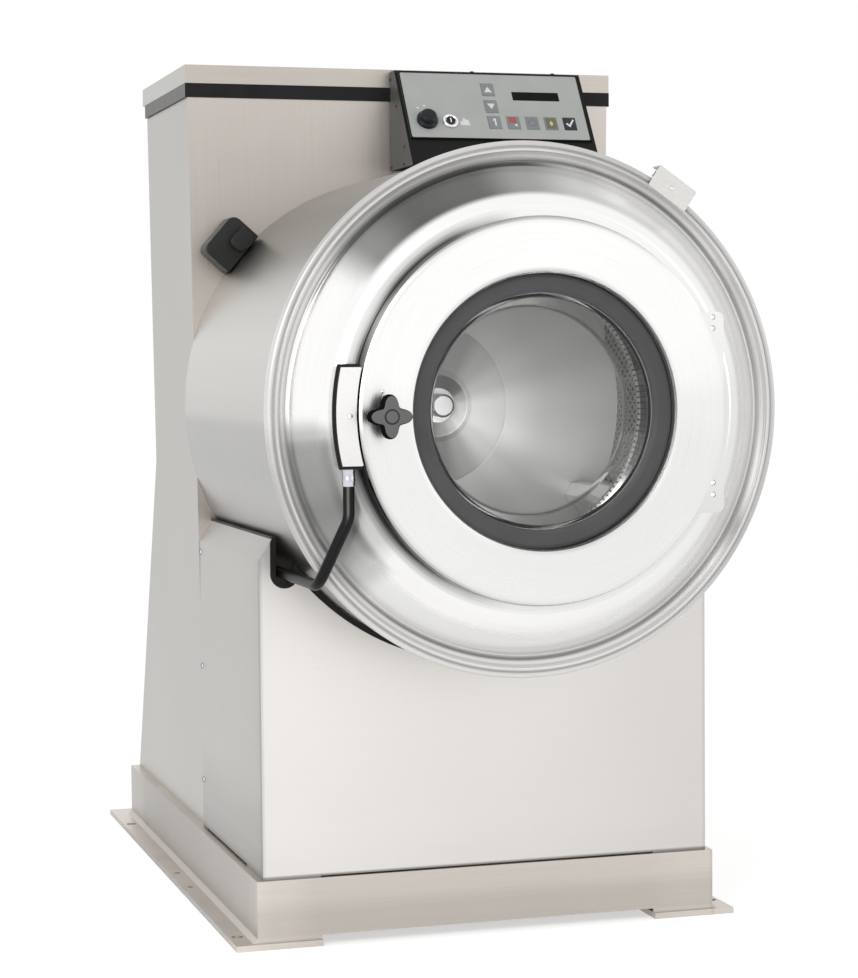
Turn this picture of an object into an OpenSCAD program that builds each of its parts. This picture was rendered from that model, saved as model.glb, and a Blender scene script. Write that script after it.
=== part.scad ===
// Front-loading commercial washing machine with a rigid floor mounting.
// Row frame: X to the right seen from the front, Y to the back, Z up.
// The origin is the centre of the four floor anchor holes, on the floor.
// Most pieces are placed in the face frame: Y runs back from the front plane
// of the clamp band, and Z runs up from the drum's axis.

/* [Drum and shell] */
// Height of the drum's axis above the floor
drum_axis_h = 870; // [850:5:900]
// Inside diameter of the washing drum's barrel, outside of its sheet
drum_d = 762; // [740:2:780]
// Sheet of the drum
drum_sheet = 2.5; // [1.5:0.5:3]
// Depth of the drum from its front sheet to its rear sheet
drum_depth = 559; // [500:1:565]
// Front of the drum behind the face plane
drum_front = 42; // [36:1:60]
// Radial gap between the drum and the shell around it
drum_gap = 25.4; // [20:0.2:28]
// Sheet of the outer shell
shell_sheet = 3; // [2:0.5:4]
// Space between the drum's rear sheet and the shell's rear face
rear_space = 94.5; // [90:0.5:100]
// Thickness of the shell's welded rear plate
shell_plate = 8; // [6:1:10]
// Height of the three lifter ribs inside the drum
rib_h = 60; // [40:1:80]
// Diameter of the hub nut in the middle of the drum's rear sheet
hub_nut_d = 42; // [36:1:48]

/* [Front head and clamp band] */
// Height of the clamp band's crest over the flanges that it clamps
band_rise = 10.3; // [10:0.1:12]
// Length of the clamp band along the axis
band_len = 24; // [20:1:30]
// Distance of the groove between band and head inside the flanges
groove_in = 23.7; // [22:0.1:26]
// Width of the head's flat front outside the door
head_flat_w = 18.4; // [16:0.2:24]
// How far the head's flat front stands ahead of the face plane
head_rise = 52; // [48:1:56]
// Gap between the glass bowl's rim and the head's loading opening
mouth_gap = 15; // [12:0.5:16]
// Sheet of the head
head_sheet = 2.5; // [2:0.5:3]
// Angle of the clamp band's bolt above the right-hand side
clamp_angle = 55.4; // [50:0.2:60]

/* [Door] */
// Outer radius of the door plate
door_r = 299.6; // [296:0.2:300]
// Front face of the door plate ahead of the face plane
door_front = 84; // [82:0.5:86]
// Rear edge of the door plate's rim ahead of the face plane
door_rear = 56; // [55:0.5:58]
// Sheet of the door plate
door_sheet = 2.5; // [2:0.5:3]
// Width of the door plate's sheet from its rim to the pressed opening
door_ring_w = 85.1; // [84:0.1:87]
// Width of the rubber ring round the glass
gasket_w = 29.7; // [29:0.1:31]
// Depth that the glass bowl reaches behind the face plane
glass_depth = 16; // [10:1:20]
// How much the glass bowl tapers from its rim to its flat bottom
glass_taper = 12; // [10:0.5:16]
// Thickness of the glass bowl
glass_t = 6; // [5:0.5:8]
// Edge of the hinge tab outside the hinge pin
tab_over = 6.5; // [5:0.5:8]
// Top edge of the hinge tab above the axis
tab_top = 152; // [148:1:158]
// Bottom edge of the hinge tab below the axis
tab_bottom = 162; // [158:1:166]
// Corner radius of the hinge tab
tab_corner = 12; // [8:1:16]
// Distance of the hinge pin inside the door's rim
hinge_in = 13.6; // [13.2:0.2:15]
// Distance of the hinge pin ahead of the face plane
hinge_y = 72; // [71:0.5:72.5]
// Diameter of the hinge pin
hinge_pin_d = 8; // [6:0.5:9]

/* [Door lock] */
// Distance of the star knob inside the door's rim
knob_in = 40.6; // [38:0.2:44]
// Height of the star knob against the drum's axis
knob_z = -3; // [-6:1:0]
// Mean radius of the star knob's outline
knob_mean_r = 27.5; // [24:0.5:28]
// How much each of the four lobes stands out from the mean
knob_lobe = 6.5; // [6:0.5:10]
// Thickness of the star knob
knob_t = 26; // [20:1:30]
// How far the locking dog reaches into the latch box
dog_grip = 6.5; // [5:0.5:7]
// Gap between the door's rim and the latch box
latch_gap = 3.9; // [3:0.1:6]
// Width of the latch box across its curved sides
latch_w = 31; // [28:1:36]
// Half height of the latch box
latch_half = 75.5; // [70:0.5:82]
// How far the black gasket stands out round the latch box
latch_seal_over = 3.5; // [2:0.5:5]
// Travel of the locking plunger
plunger_travel = 12; // [8:1:14]
// Diameter of the electric cable's black conduit
conduit_d = 17.6; // [15:0.2:18]

/* [Base frame] */
// Width of the foot flange outside the base box
foot_over = 36.5; // [35:0.5:40]
// Length of the foot flange behind the base box
foot_behind = 54.5; // [50:0.5:60]
// Thickness of the foot flanges
foot_t = 10; // [8:1:12]
// Length of the foot flange ahead of the base box
foot_ahead = 6.5; // [5:0.5:10]
// How far the base box stands out on each side of the cabinet
base_over = 11; // [10:0.5:14]
// How far the base box stands out ahead of the cabinet
base_ahead = 5.5; // [3:0.5:7]
// How far the base box stands out behind the tower
base_behind = 12.5; // [10:0.5:16]
// Height of the base box's top above the floor
base_top = 111; // [105:1:120]
// Sheet of the base box
base_sheet = 5; // [4:0.5:6]
// Distance of the anchor holes from the flange's outer edge
anchor_edge = 15; // [13:1:17]
// Distance between the anchor holes along the machine
anchor_span_y = 1014; // [1000:1:1030]
// Front anchor hole behind the foot's front end
anchor_setback = 65; // [55:1:75]
// Diameter of the anchor holes
anchor_d = 19; // [16:0.5:20]
// Diameter of the small holes at the middle of each flange
jack_hole_d = 10; // [8:0.5:12]
// Distance between the small middle holes
jack_pitch = 124; // [110:1:140]
// Middle of the small holes behind the front anchor hole
jack_mid = 457; // [440:1:480]
// Inner end of the front pads, from the middle plane
pad_inner = 290; // [280:1:300]

/* [Cabinet and tower] */
// Width of the front cabinet over its side panels
cabinet_w = 773; // [771:1:775]
// Front panel's face behind the face plane
cabinet_front = 213; // [212:0.5:215]
// Sheet of the cabinet and tower panels
panel_sheet = 2; // [1.5:0.5:2.5]
// Gap between the shell and the edge of the folded strips
fold_gap = 8.8; // [8:0.2:10]
// How far the folded strip leans inward
fold_in = 22.5; // [21:0.5:24]
// Height of the folded strip
fold_rise = 36; // [35:1:38]
// Radius of the notch for the conduit
notch_r = 19; // [18:0.5:20]
// Distance of the notch's middle from the cabinet's left side
notch_in = 41.5; // [41:0.5:43]
// Distance of the conduit's middle from the shell at the notch
notch_off = 23.8; // [23:0.1:25]
// Half width of the rubber edge trim
trim_half = 4.5; // [3.5:0.5:4.5]
// Gap between the shell's rear plate and the tower
tower_gap = 0.5; // [0.3:0.1:2]
// How much narrower the tower is at its foot than the cabinet
tower_in = 10; // [8:1:14]
// How much wider the tower is at its top than at its foot
tower_flare = 33.6; // [30:0.2:36]
// Depth of the tower's upper part
tower_deep = 402; // [398:1:410]
// How far the tower's foot reaches behind its upper part
tower_slope = 287; // [275:1:295]
// Height above the floor where the rear wall starts to slope
tower_waist_h = 759; // [740:1:780]
// Height of the tower's top flange over the control box
tower_over = 2; // [1:0.5:6]
// Thickness of the top of the cap above the tower
cap_top = 2; // [1.5:0.5:3]
// Overhang of the top cap on each side of the tower
cap_over = 3.2; // [3:0.1:5]
// Overhang of the top cap behind the tower
cap_behind = 23; // [15:1:26]
// Height of the black strip under the cap
strip_h = 25; // [20:1:30]
// Height of the cap's skirt over the strip
skirt_h = 32.4; // [28:0.2:36]

/* [Control box] */
// Width of the control box
control_w = 355; // [353:1:360]
// Left side of the control box from the axis
control_left = -24; // [-26:1:-20]
// Gap between the shell's crown and the control box
control_gap = 14.6; // [12:0.2:20]
// Height of the control box
control_h = 179; // [178:1:180]
// Lean of the control face from the vertical
control_lean = 33; // [31:1:34]
// Depth of the control box at its top
control_top_depth = 27; // [24:1:30]
// Width of a key
key_w = 24; // [20:0.5:26]
// Height of a key
key_h = 28.5; // [24:0.5:30]
// Distance between the keys in the row
key_pitch = 36; // [34:0.5:36.5]
// Travel of a key
key_travel = 0.8; // [0.4:0.1:1.2]
// Diameter of the master switch knob
switch_d = 39; // [34:1:40]
// Diameter of the key switch
lock_d = 29; // [24:1:30]

/* [Supply chute] */
// Angle of the supply chute on the shell
chute_angle = 139; // [136:0.5:142]
// Width of the supply chute along the shell
chute_w = 84; // [76:1:90]
// Height of the supply chute over the shell
chute_h = 62; // [56:1:66]
// Depth of the chute's body
chute_depth = 45; // [40:1:50]

/* [Drive and pipes] */
// Diameter of the drum shaft
shaft_d = 70; // [60:1:74]
// Outer diameter of the shaft bearings
bearing_d = 110; // [100:1:120]
// Width of a shaft bearing
bearing_w = 40; // [30:1:42]
// Distance of the bearing frame's posts from the middle plane
post_x = 270; // [262:1:276]
// Height of the bearing frame's posts over the drum's axis
post_rise = 330; // [300:2:340]
// Half height of the bearing frame's plate
frame_half = 210; // [200:1:230]
// Outer diameter of the bearing housing
housing_d = 190; // [170:2:200]
// Length of the bearing housing
housing_len = 264; // [250:1:268]
// Diameter of the drum's belt pulley
drum_pulley_d = 470; // [440:2:480]
// Diameter of the motor's belt pulley
motor_pulley_d = 100; // [90:2:110]
// Width of the pulleys
pulley_w = 50; // [46:1:54]
// Distance of the pulleys behind the tower's front wall
pulley_back = 289; // [287:1:294]
// Height of the motor's mounting plate over the base
motor_stand = 98; // [93:1:108]
// Diameter of the motor's body
motor_d = 190; // [170:2:200]
// Diameter of the motor's shaft
motor_shaft_d = 28; // [24:1:32]
// Outer diameter of the drain pipe
drain_d = 76.2; // [74:0.2:78]
// Height of the drain outlet above the floor
drain_h = 180; // [176:1:184]
// Length of the drain outlet's spigot
drain_grip = 48; // [40:1:50]
// Drain outlet to the left of the middle plane
drain_x = 180; // [175:1:188]
// Outer diameter of a water inlet's hose thread
inlet_d = 26.4; // [24:0.2:28]
// Distance of the water inlets below the shell's crown
inlet_drop = 59.4; // [55:0.2:70]

/* [Hidden] */

seat = 0.3;    // gap between pieces that rest on each other
run = 0.05;    // radial clearance of a shaft in its bore
lap = 2;       // how far a straight pipe reaches into its bend
cut = 1;       // how far a cutting solid passes the face it cuts
big = 128;     // facets of the largest circles
mid = 64;      // facets of middle-sized circles
fine = 32;     // facets of small circles

drum_r = drum_d/2;
drum_rear = drum_front + drum_depth;
shell_ri = drum_r + drum_gap;
shell_r = shell_ri + shell_sheet;
shell_rear = drum_rear + rear_space;
plate_y = shell_rear - shell_plate;

flange_r = shell_r + seat;         // flanges of shell and head, inside the outer bead
flat_r = flange_r - 7.7;           // inner edge of the head's flange
band_r = flange_r + band_rise;
groove_r = flange_r - groove_in;
head_flat_r = door_r + head_flat_w;
head_y = -head_rise;
cone_r = head_flat_r + 14;         // where the head's rounded edge meets its cone
cone_y = head_y + 9;

door_hole_r = door_r - door_ring_w;
gasket_ro = door_hole_r - door_sheet - seat;
gasket_r = gasket_ro - gasket_w;
glass_bottom_r = gasket_r - glass_taper;
mouth_r = gasket_r + mouth_gap;
drum_mouth_r = mouth_r + 6;
hinge_x = door_r - hinge_in;
tab_right = hinge_x + tab_over;

dog_y = -68;
dog_t = 6;
knob_x = door_r - knob_in;
latch_r0 = door_r + latch_gap;
latch_r1 = latch_r0 + latch_w;
latch_mid_r = (latch_r0 + latch_r1)/2;
dog_tip = latch_r0 + dog_grip;     // the dog's end when locked, and the plunger's place
dog_reach = dog_tip - knob_x;
plunger_z = 31;

tower_front = shell_rear + tower_gap;
tower_rear = tower_front + tower_deep;
tower_rear_base = tower_rear + tower_slope;
tower_w_base = cabinet_w - tower_in;
tower_w_top = tower_w_base + tower_flare;
control_bottom = shell_r + control_gap;
control_top = control_bottom + control_h;
tower_top_z = control_top + tower_over;
tower_h = tower_top_z + drum_axis_h;
base_z = base_top - drum_axis_h;
cap_w = tower_w_top + 2*cap_over;
cap_z = tower_top_z + seat;
strip_z = cap_z + cap_top - skirt_h;
cap_y = tower_front - 2;
control_back = cap_y - 2.3;
control_front = control_back - control_top_depth;

base_w = cabinet_w + 2*base_over;
base_front = cabinet_front - base_ahead;
base_len = tower_rear_base + base_behind - base_front;
foot_w = base_w + 2*foot_over;
foot_front = base_front - foot_ahead;
foot_len = foot_ahead + base_len + foot_behind;
anchor_span_x = foot_w - 2*anchor_edge;
face_y = -(foot_front + anchor_setback + anchor_span_y/2);

housing_y = tower_front - 0.2;
pulley_y = tower_front + pulley_back;
motor_drop = -base_z - motor_stand - motor_d/2 - 6;
mount_half = motor_d/2 + 25;
mount_end = pulley_y - 29;
shaft_end = pulley_y + pulley_w + 10;
drain_z = drain_h - drum_axis_h;
inlet_z = shell_r - inlet_drop;
inlet_xs = [-250, -170];
valve_y = 560;
stub_r = 36;                       // bore of the drain under the shell
belt_t = 8;
rim_top_z = shell_r + 0.4;
cradle_r = rim_top_z + trim_half + 0.2;
bevel_x = cabinet_w/2 - fold_in;
bevel_z = -sqrt(pow(shell_r + fold_gap, 2) - pow(bevel_x, 2));
fold_drop = fold_rise - bevel_z;
notch_x = cabinet_w/2 - notch_in;
notch_drop = round(2*sqrt(pow(shell_r + notch_off, 2) - pow(notch_x, 2)))/2;
screw_top = fold_drop + 18.1;
screw_foot = -base_z - 88;
screw_drops = [screw_top, (screw_top + screw_foot)/2, screw_foot];
screw_y = tower_front - 10;
lifter_count = 3;

// Placing

// Face frame: Y from the band's front plane, Z from the drum's axis
module in_face() { translate([0, face_y, drum_axis_h]) children(); }

// Floor frame: Y from the band's front plane, Z from the floor
module in_floor() { translate([0, face_y, 0]) children(); }

// A turned piece round the drum's axis, from an outline of [radius, y]
module turned(facets = big) {
    in_face() rotate([-90, 0, 0]) rotate_extrude($fn = facets) children();
}

// A rod along Y from y0 to y1, round the face frame's origin
module rod_y(r, y0, y1, facets = mid) {
    translate([0, y0, 0]) rotate([-90, 0, 0]) cylinder(r = r, h = y1 - y0, $fn = facets);
}

// An outline in X and Z, extruded along Y from y0 to y1
module slab_y(y0, y1) { translate([0, y1, 0]) rotate([90, 0, 0]) linear_extrude(y1 - y0) children(); }

// An outline in Y and Z, extruded along X from x0 to x1
module slab_x(x0, x1) {
    translate([x0, 0, 0]) rotate([90, 0, 90]) linear_extrude(x1 - x0) children();
}

// A box between two corners
module box(a, b) { translate(a) cube(b - a); }

// Turns a child round the drum's axis so that its +X side stands at an angle
module at_angle(a) { rotate([0, -a, 0]) children(); }

// A round pipe along a list of points, bent to one radius at each of them
module pipe_run(points, r, bend, facets = fine) {
    last = len(points) - 1;
    for (i = [0:last - 1]) {
        d = points[i + 1] - points[i];
        u = d/norm(d);
        a = i > 0 ? bend*tan(turn_angle(points, i)/2) - lap : 0;
        b = i + 1 < last ? bend*tan(turn_angle(points, i + 1)/2) - lap : 0;
        translate(points[i] + a*u)
            rotate([0, acos(u[2]), atan2(u[1], u[0])])
                cylinder(r = r, h = norm(d) - a - b, $fn = facets);
        if (i > 0) pipe_bend(points, i, r + 0.15, bend, facets);
    }
}

function unit(v) = v/norm(v);
function turn_angle(p, i) = acos(unit(p[i] - p[i - 1])*unit(p[i + 1] - p[i]));

// The bend at one point: a part of a ring round the centre of the bend
module pipe_bend(p, i, r, bend, facets) {
    u = unit(p[i] - p[i - 1]);
    v = unit(p[i + 1] - p[i]);
    a = turn_angle(p, i);
    n = (v - u*cos(a))/sin(a);
    w = cross(u, n);
    c = p[i] - bend*tan(a/2)*u + bend*n;
    multmatrix([[-n[0], u[0], w[0], c[0]], [-n[1], u[1], w[1], c[1]], [-n[2], u[2], w[2], c[2]]])
        rotate_extrude(angle = a, $fn = 2*facets) translate([bend, 0]) circle(r = r, $fn = facets);
}

// Base and frame

module base_frame() {
    half = base_w/2;
    rear = base_front + base_len;
    color([0.74, 0.72, 0.70]) in_floor() difference() {
        union() {
            difference() {
                box([-half, base_front, foot_t], [half, rear, base_top]);
                box([-half + base_sheet, base_front + base_sheet, foot_t - cut],
                    [half - base_sheet, rear - base_sheet, base_top - base_sheet]);
                box([-half + 60, base_front + 60, 0], [half - 60, rear - 60, base_top + cut]);
                box([-pad_inner, base_front - cut, foot_t - cut],
                    [pad_inner, base_front + base_sheet + cut, foot_t + 7]);
            }
            for (s = [-1, 1]) {
                foot_flange(s);
                weld_strip(s);
            }
            for (y = [tower_front + 4, tower_front + 204])
                box([-half + base_sheet, y, base_top - 60], [half - base_sheet, y + 60, base_top]);
        }
        for (s = [-1, 1]) anchor_holes(s);
    }
}

module foot_flange(s) {
    half = base_w/2;
    x0 = s > 0 ? half - 60 : -foot_w/2;
    x1 = s > 0 ? foot_w/2 : -half + 60;
    box([x0, foot_front, 0], [x1, foot_front + foot_len, foot_t]);
    for (y = [foot_front, foot_front + foot_len - 140])
        box([s > 0 ? pad_inner : -foot_w/2, y, 0],
            [s > 0 ? foot_w/2 : -pad_inner, y + (y > foot_front ? 84 : 90), foot_t]);
}

// Weld bead along the foot of the base box
module weld_strip(s) {
    half = base_w/2 - 0.5;
    slab_y(base_front, base_front + base_len)
        polygon([[s*half, foot_t], [s*(half + 8), foot_t], [s*half, foot_t + 8]]);
}

module anchor_holes(s) {
    first = foot_front + anchor_setback;
    for (y = [first, first + anchor_span_y])
        translate([s*anchor_span_x/2, y, -cut]) cylinder(d = anchor_d, h = foot_t + 2*cut, $fn = fine);
    for (k = [-1, 1])
        translate([s*anchor_span_x/2, first + jack_mid + k*jack_pitch/2, -cut])
            cylinder(d = jack_hole_d, h = foot_t + 2*cut, $fn = fine);
}

// Welded frame inside the tower that carries the bearing housing
module rear_frame() {
    y0 = tower_front + 4;
    post = 60;
    color([0.45, 0.46, 0.47]) in_face() {
        for (s = [-1, 1])
            translate([s*post_x, y0 + post/2, base_z])
                difference() {
                    translate([-post/2, -post/2, 0]) cube([post, post, post_rise - base_z]);
                    translate([-post/2 + 4, -post/2 + 4, -cut]) cube([post - 8, post - 8, post_rise - 4 - base_z]);
                }
        for (z = [-frame_half, frame_half - 58])
            box([post/2 - post_x, y0, z], [post_x - post/2, y0 + post, z + 58]);
        difference() {
            box([8 - post_x, y0 + post, -frame_half], [post_x - 8, y0 + post + 12, frame_half]);
            rod_y(housing_d/2 + seat, y0, y0 + post + 20);
        }
    }
}

// Tower

// Half width of the tower at a height above the floor
function tower_half(h) =
    (tower_w_base + (tower_w_top - tower_w_base)*(h - base_top)/(tower_h - base_top))/2;

// The tower's space, shrunk inward by a sheet's thickness
module tower_body(inset, rear_inset, over) {
    h0 = base_top - over;
    h1 = tower_h + over;
    in_floor() intersection() {
        slab_y(tower_front + inset, tower_rear_base + 100)
            polygon([[-tower_half(h0) + inset, h0], [tower_half(h0) - inset, h0],
                     [tower_half(h1) - inset, h1], [-tower_half(h1) + inset, h1]]);
        slab_x(-foot_w/2, foot_w/2)
            polygon([[tower_front + inset, h0], [tower_rear_base - rear_inset, h0],
                     [tower_rear_base - rear_inset, base_top],
                     [tower_rear - rear_inset, tower_waist_h], [tower_rear - rear_inset, h1],
                     [tower_front + inset, h1]]);
    }
}

module tower_casing() {
    color([0.76, 0.73, 0.70]) {
        difference() {
            tower_body(0, 0, 0);
            difference() {
                tower_body(panel_sheet, panel_sheet, 10);
                in_floor() box([-foot_w/2, 0, tower_h - panel_sheet], [foot_w/2, 2000, tower_h + 20]);
            }
            in_face() rod_y(housing_d/2 + 55, tower_front - cut, tower_front + 10, big);
            in_face() translate([inlet_xs[1], 0, inlet_z - 20])
                rod_y(13, tower_front - cut, tower_front + 10, fine);
            in_floor() box([-300, tower_front - cut, base_top + 14], [300, tower_front + 10, 430]);
            in_floor() box([-340, tower_front + 40, tower_h - 10], [340, tower_rear - 40, tower_h + 10]);
            in_floor() box([-345, tower_rear - 30, base_top + 30], [345, tower_rear_base + 20, tower_h - 40]);
        }
        difference() {
            for (s = [-1, 1]) screw_flange(s);
            for (s = [-1, 1]) panel_screw_bores(s);
        }
    }
}

// Strip behind the side panel that takes its screws
module screw_flange(s) {
    x1 = cabinet_w/2 - panel_sheet - 0.1;
    in_face() box([s > 0 ? x1 - 12 : -x1, screw_y - 14, base_z],
                  [s > 0 ? x1 : -x1 + 12, tower_front, -fold_drop - 12]);
}

module panel_screw_bores(s) {
    for (d = screw_drops)
        in_face() translate([s*(cabinet_w/2 - 15), screw_y, -d]) rotate([0, s*90, 0])
            cylinder(r = 2.5 + run, h = 40, $fn = fine);
}

// Rear cover with air slots and holes for the pipes
module tower_back_cover() {
    x1 = tower_w_base/2 - 12;
    h0 = base_top + 6;
    h1 = tower_h - 46;
    skip = (tower_rear_base - tower_rear)*(h0 - base_top)/(tower_waist_h - base_top);
    color([0.70, 0.69, 0.67]) difference() {
        in_floor() slab_x(-x1, x1)
            polygon([[tower_rear + 0.2, h1], [tower_rear + 0.2, tower_waist_h],
                     [tower_rear_base - skip + 0.2, h0],
                     [tower_rear_base - skip + 0.2 + panel_sheet, h0],
                     [tower_rear + 0.2 + panel_sheet, tower_waist_h], [tower_rear + 0.2 + panel_sheet, h1]]);
        in_floor() for (i = [0:7], s = [-1, 1])
            box([s*170 - 70, tower_rear - 10, 900 + i*24], [s*170 + 70, tower_rear + 10, 909 + i*24]);
        in_face() translate([-drain_x, 0, drain_z])
            rod_y(drain_d/2 + 1, tower_rear, tower_rear_base + 50);
        for (x = inlet_xs)
            in_face() translate([x, 0, inlet_z]) rod_y(inlet_d/2 + seat, tower_rear - 10, tower_rear + 10, fine);
        in_face() translate([300, 0, 480]) rod_y(14, tower_rear - 10, tower_rear + 10, fine);
    }
}

module top_cap() {
    half = cap_w/2;
    color([0.78, 0.75, 0.73]) in_face() difference() {
        box([-half, cap_y, strip_z], [half, tower_rear + cap_behind, cap_z + cap_top]);
        box([-half + panel_sheet, cap_y + 1.8, strip_z - cut],
            [half - panel_sheet, tower_rear + cap_behind - panel_sheet, cap_z]);
    }
}

// Black strip under the cap's skirt, along the front and both sides
module cap_strip() {
    half = cap_w/2 + 0.5;
    color([0.12, 0.12, 0.12]) in_face() difference() {
        box([-half, cap_y, strip_z - strip_h], [half, tower_rear - 2, strip_z - 0.1]);
        box([-tower_w_top/2 - seat, tower_front - seat, strip_z - strip_h - cut],
            [tower_w_top/2 + seat, tower_rear, strip_z + cut]);
    }
}

// Cabinet

module front_outline() {
    half = cabinet_w/2;
    polygon([[-half, base_z], [half, base_z], [half, -fold_drop], [bevel_x, bevel_z],
             [-bevel_x, bevel_z], [-half, -fold_drop]]);
}

// The cut-out for shell and conduit, grown by a margin
module cradle_outline(grow) {
    circle(r = cradle_r + grow, $fn = big);
    translate([-notch_x, -notch_drop]) circle(r = notch_r + grow, $fn = mid);
    translate([-notch_x - notch_r - grow, -notch_drop]) square([2*(notch_r + grow), 80]);
}

module front_panel() {
    color([0.86, 0.85, 0.83]) in_face() difference() {
        slab_y(cabinet_front, cabinet_front + panel_sheet) front_outline();
        slab_y(cabinet_front - cut, cabinet_front + panel_sheet + cut) cradle_outline(0);
        box([-pad_inner, 0, base_z - cut], [pad_inner, cabinet_front + 20, base_z + 4]);
    }
}

// One side panel, with its top strip folded in towards the shell
module side_panel(s) {
    half = cabinet_w/2;
    y0 = cabinet_front + panel_sheet;
    color([0.72, 0.71, 0.69]) difference() {
        in_face() slab_y(y0, tower_front - seat)
            polygon([[s*half, base_z], [s*half, -fold_drop], [s*bevel_x, bevel_z],
                     [s*(bevel_x - 1.7), bevel_z - 1.2],
                     [s*(half - panel_sheet), -fold_drop - 0.8], [s*(half - panel_sheet), base_z]]);
        in_face() box([s*half - 5, y0 + 119, base_z - cut], [s*half + 5, tower_front - 13, base_z + 4]);
        panel_screw_bores(s);
    }
}

module side_panel_left() { side_panel(-1); }
module side_panel_right() { side_panel(1); }

// A dome-headed screw along +Z, its head's underside at z = 0
module dome_screw(head_r, shank_r, shank) {
    intersection() {
        translate([0, 0, head_r*0.55 - head_r*1.2]) sphere(r = head_r*1.2, $fn = fine);
        cylinder(r = head_r, h = head_r, $fn = fine);
    }
    translate([0, 0, -shank]) cylinder(r = shank_r, h = shank + 0.1, $fn = fine);
}

module cover_screws() {
    color([0.85, 0.85, 0.86]) in_face() {
        for (s = [-1, 1], d = screw_drops)
            translate([s*(cabinet_w/2 + 0.1), screw_y, -d]) rotate([0, s*90, 0]) dome_screw(5.5, 2.5, 12);
        translate([-latch_mid_r + 7.3, -door_front - 0.2, -2]) rotate([90, 0, 0])
            dome_screw(4, 2, 8);
        for (p = control_screws) translate([control_left - 0.1, control_face_y(p[1]) + p[0], control_top - p[1]])
            rotate([0, -90, 0]) dome_screw(3, 1.4, 3.5);
    }
}

// Rubber edging of the cradle cut-out and of the folded strips
module cradle_trim() {
    g = 0.15;
    y0 = cabinet_front;
    y1 = cabinet_front + panel_sheet;
    color([0.13, 0.13, 0.13]) in_face() {
        difference() {
            union() {
                slab_y(y0 - 1.8, y1) trim_outline(-1, 2);
                slab_y(y1 - 0.5, y1 + 1.8) trim_outline(panel_sheet + 0.5, -1.6);
            }
            slab_y(y0 - g, y1 + g) difference() { cradle_outline(30); cradle_outline(-0.5); }
        }
        for (s = [-1, 1])
            slab_y(y1 + 2.2, tower_front - 1)
                translate([s*(bevel_x - 0.5), bevel_z + 0.3])
                    polygon([[s*0.6, 0.2], [s*2.4, 3.2], [-s*4.4, 3.4], [-s*4.6, -0.9], [-s*1.5, -0.5]]);
    }
}

// The front trim, kept inside the panel's outline by a margin and under the folds' edge
module trim_outline(in, rise) {
    half = cabinet_w/2 - in;
    intersection() {
        difference() { cradle_outline(trim_half); cradle_outline(-trim_half); }
        polygon([[-half, base_z], [half, base_z], [half, -fold_drop], [bevel_x - in, bevel_z + rise],
                 [-bevel_x + in, bevel_z + rise], [-half, -fold_drop]]);
    }
}

// Shell and head

module tub_shell() {
    color([0.72, 0.72, 0.71]) difference() {
        union() {
            turned() polygon([[shell_ri, 6.8], [flange_r, 6.8], [flange_r, 9.8], [shell_r, 9.8],
                [shell_r, shell_rear], [80, shell_rear], [80, plate_y], [shell_ri, plate_y]]);
            in_face() translate([0, valve_y, -shell_r - 25]) cylinder(r = stub_r + 6, h = 40, $fn = mid);
        }
        in_face() translate([0, valve_y, -shell_r - 40]) cylinder(r = stub_r, h = 80, $fn = mid);
        turned() square([shell_ri - 0.01, plate_y]);
        in_face() translate([inlet_xs[1], 0, inlet_z - 20]) rod_y(13, plate_y - cut, shell_rear + cut, fine);
        in_face() at_angle(chute_angle) translate([shell_ri - 10, shell_rear - 22, 0])
            rotate([0, 90, 0]) cylinder(r = 12, h = 30, $fn = fine);
    }
}

// Dished head that closes the front of the shell round the door
module shell_front() {
    t = head_sheet;
    color([0.82, 0.82, 0.82]) turned() polygon([
        [flange_r, 4], [flat_r, 4], [groove_r + 5, 10], [groove_r - 2, 9], [cone_r, cone_y],
        [head_flat_r + 6, head_y + 2.2], [head_flat_r, head_y], [mouth_r + 3, head_y],
        [mouth_r, head_y + 3], [mouth_r, head_y + 14], [mouth_r + t, head_y + 14],
        [mouth_r + t, head_y + 4], [mouth_r + t + 1.5, head_y + t], [head_flat_r, head_y + t],
        [head_flat_r + 5, head_y + t + 2], [cone_r - 1, cone_y + t], [groove_r - 3, 9 + t],
        [groove_r + 5.5, 10 + t], [flat_r + 1, 4 + t], [flange_r, 4 + t]]);
}

// Two-bead band that clamps the head to the shell, with its two bolt lugs
module clamp_band() {
    front = [flange_r - 3.6, 0.3];
    outer = [band_r - 5, 5];
    rear = [band_r - 5, band_len];
    color([0.86, 0.85, 0.84]) difference() {
        union() {
            turned() polygon(concat(
                [[groove_r + 5.4, 9.4], [groove_r + 3.4, 8.2], [groove_r + 4, 6.6], [flat_r - 0.2, 0.6]],
                arc(front, 3.5, 185, 325), [[flange_r + 0.9, 1.6]], arc(outer, 5, 222, 380),
                [rear + [3.2, -5]], arc(rear, 4, -40, 250), [rear + [0, -5.5], outer + [0, 5],
                 [flange_r + 0.5, 6], [flange_r + 0.3, 3.7], [flat_r, 3.7]]));
            in_face() at_angle(clamp_angle) for (s = [-1, 1])
                box([band_r - 3, 5, s*22 - 5], [band_r + 16, 21, s*22 + 5]);
        }
        in_face() at_angle(clamp_angle) translate([band_r + 9, 13, -40])
            cylinder(r = 5 + run, h = 80, $fn = fine);
    }
}

// Points along an arc round c, from angle a0 to a1
function arc(c, r, a0, a1, n = 10) = [for (i = [0:n]) c + r*heading(a0 + i*(a1 - a0)/n)];

module clamp_bolt() {
    color([0.80, 0.80, 0.80]) in_face() at_angle(clamp_angle) translate([band_r + 9, 13, 0]) {
        translate([0, 0, -36]) cylinder(r = 5, h = 71, $fn = fine);
        translate([0, 0, 27.2]) cylinder(r = 8, h = 6, $fn = 6);
        translate([0, 0, -33.2]) cylinder(r = 8, h = 6, $fn = 6);
    }
}

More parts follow.
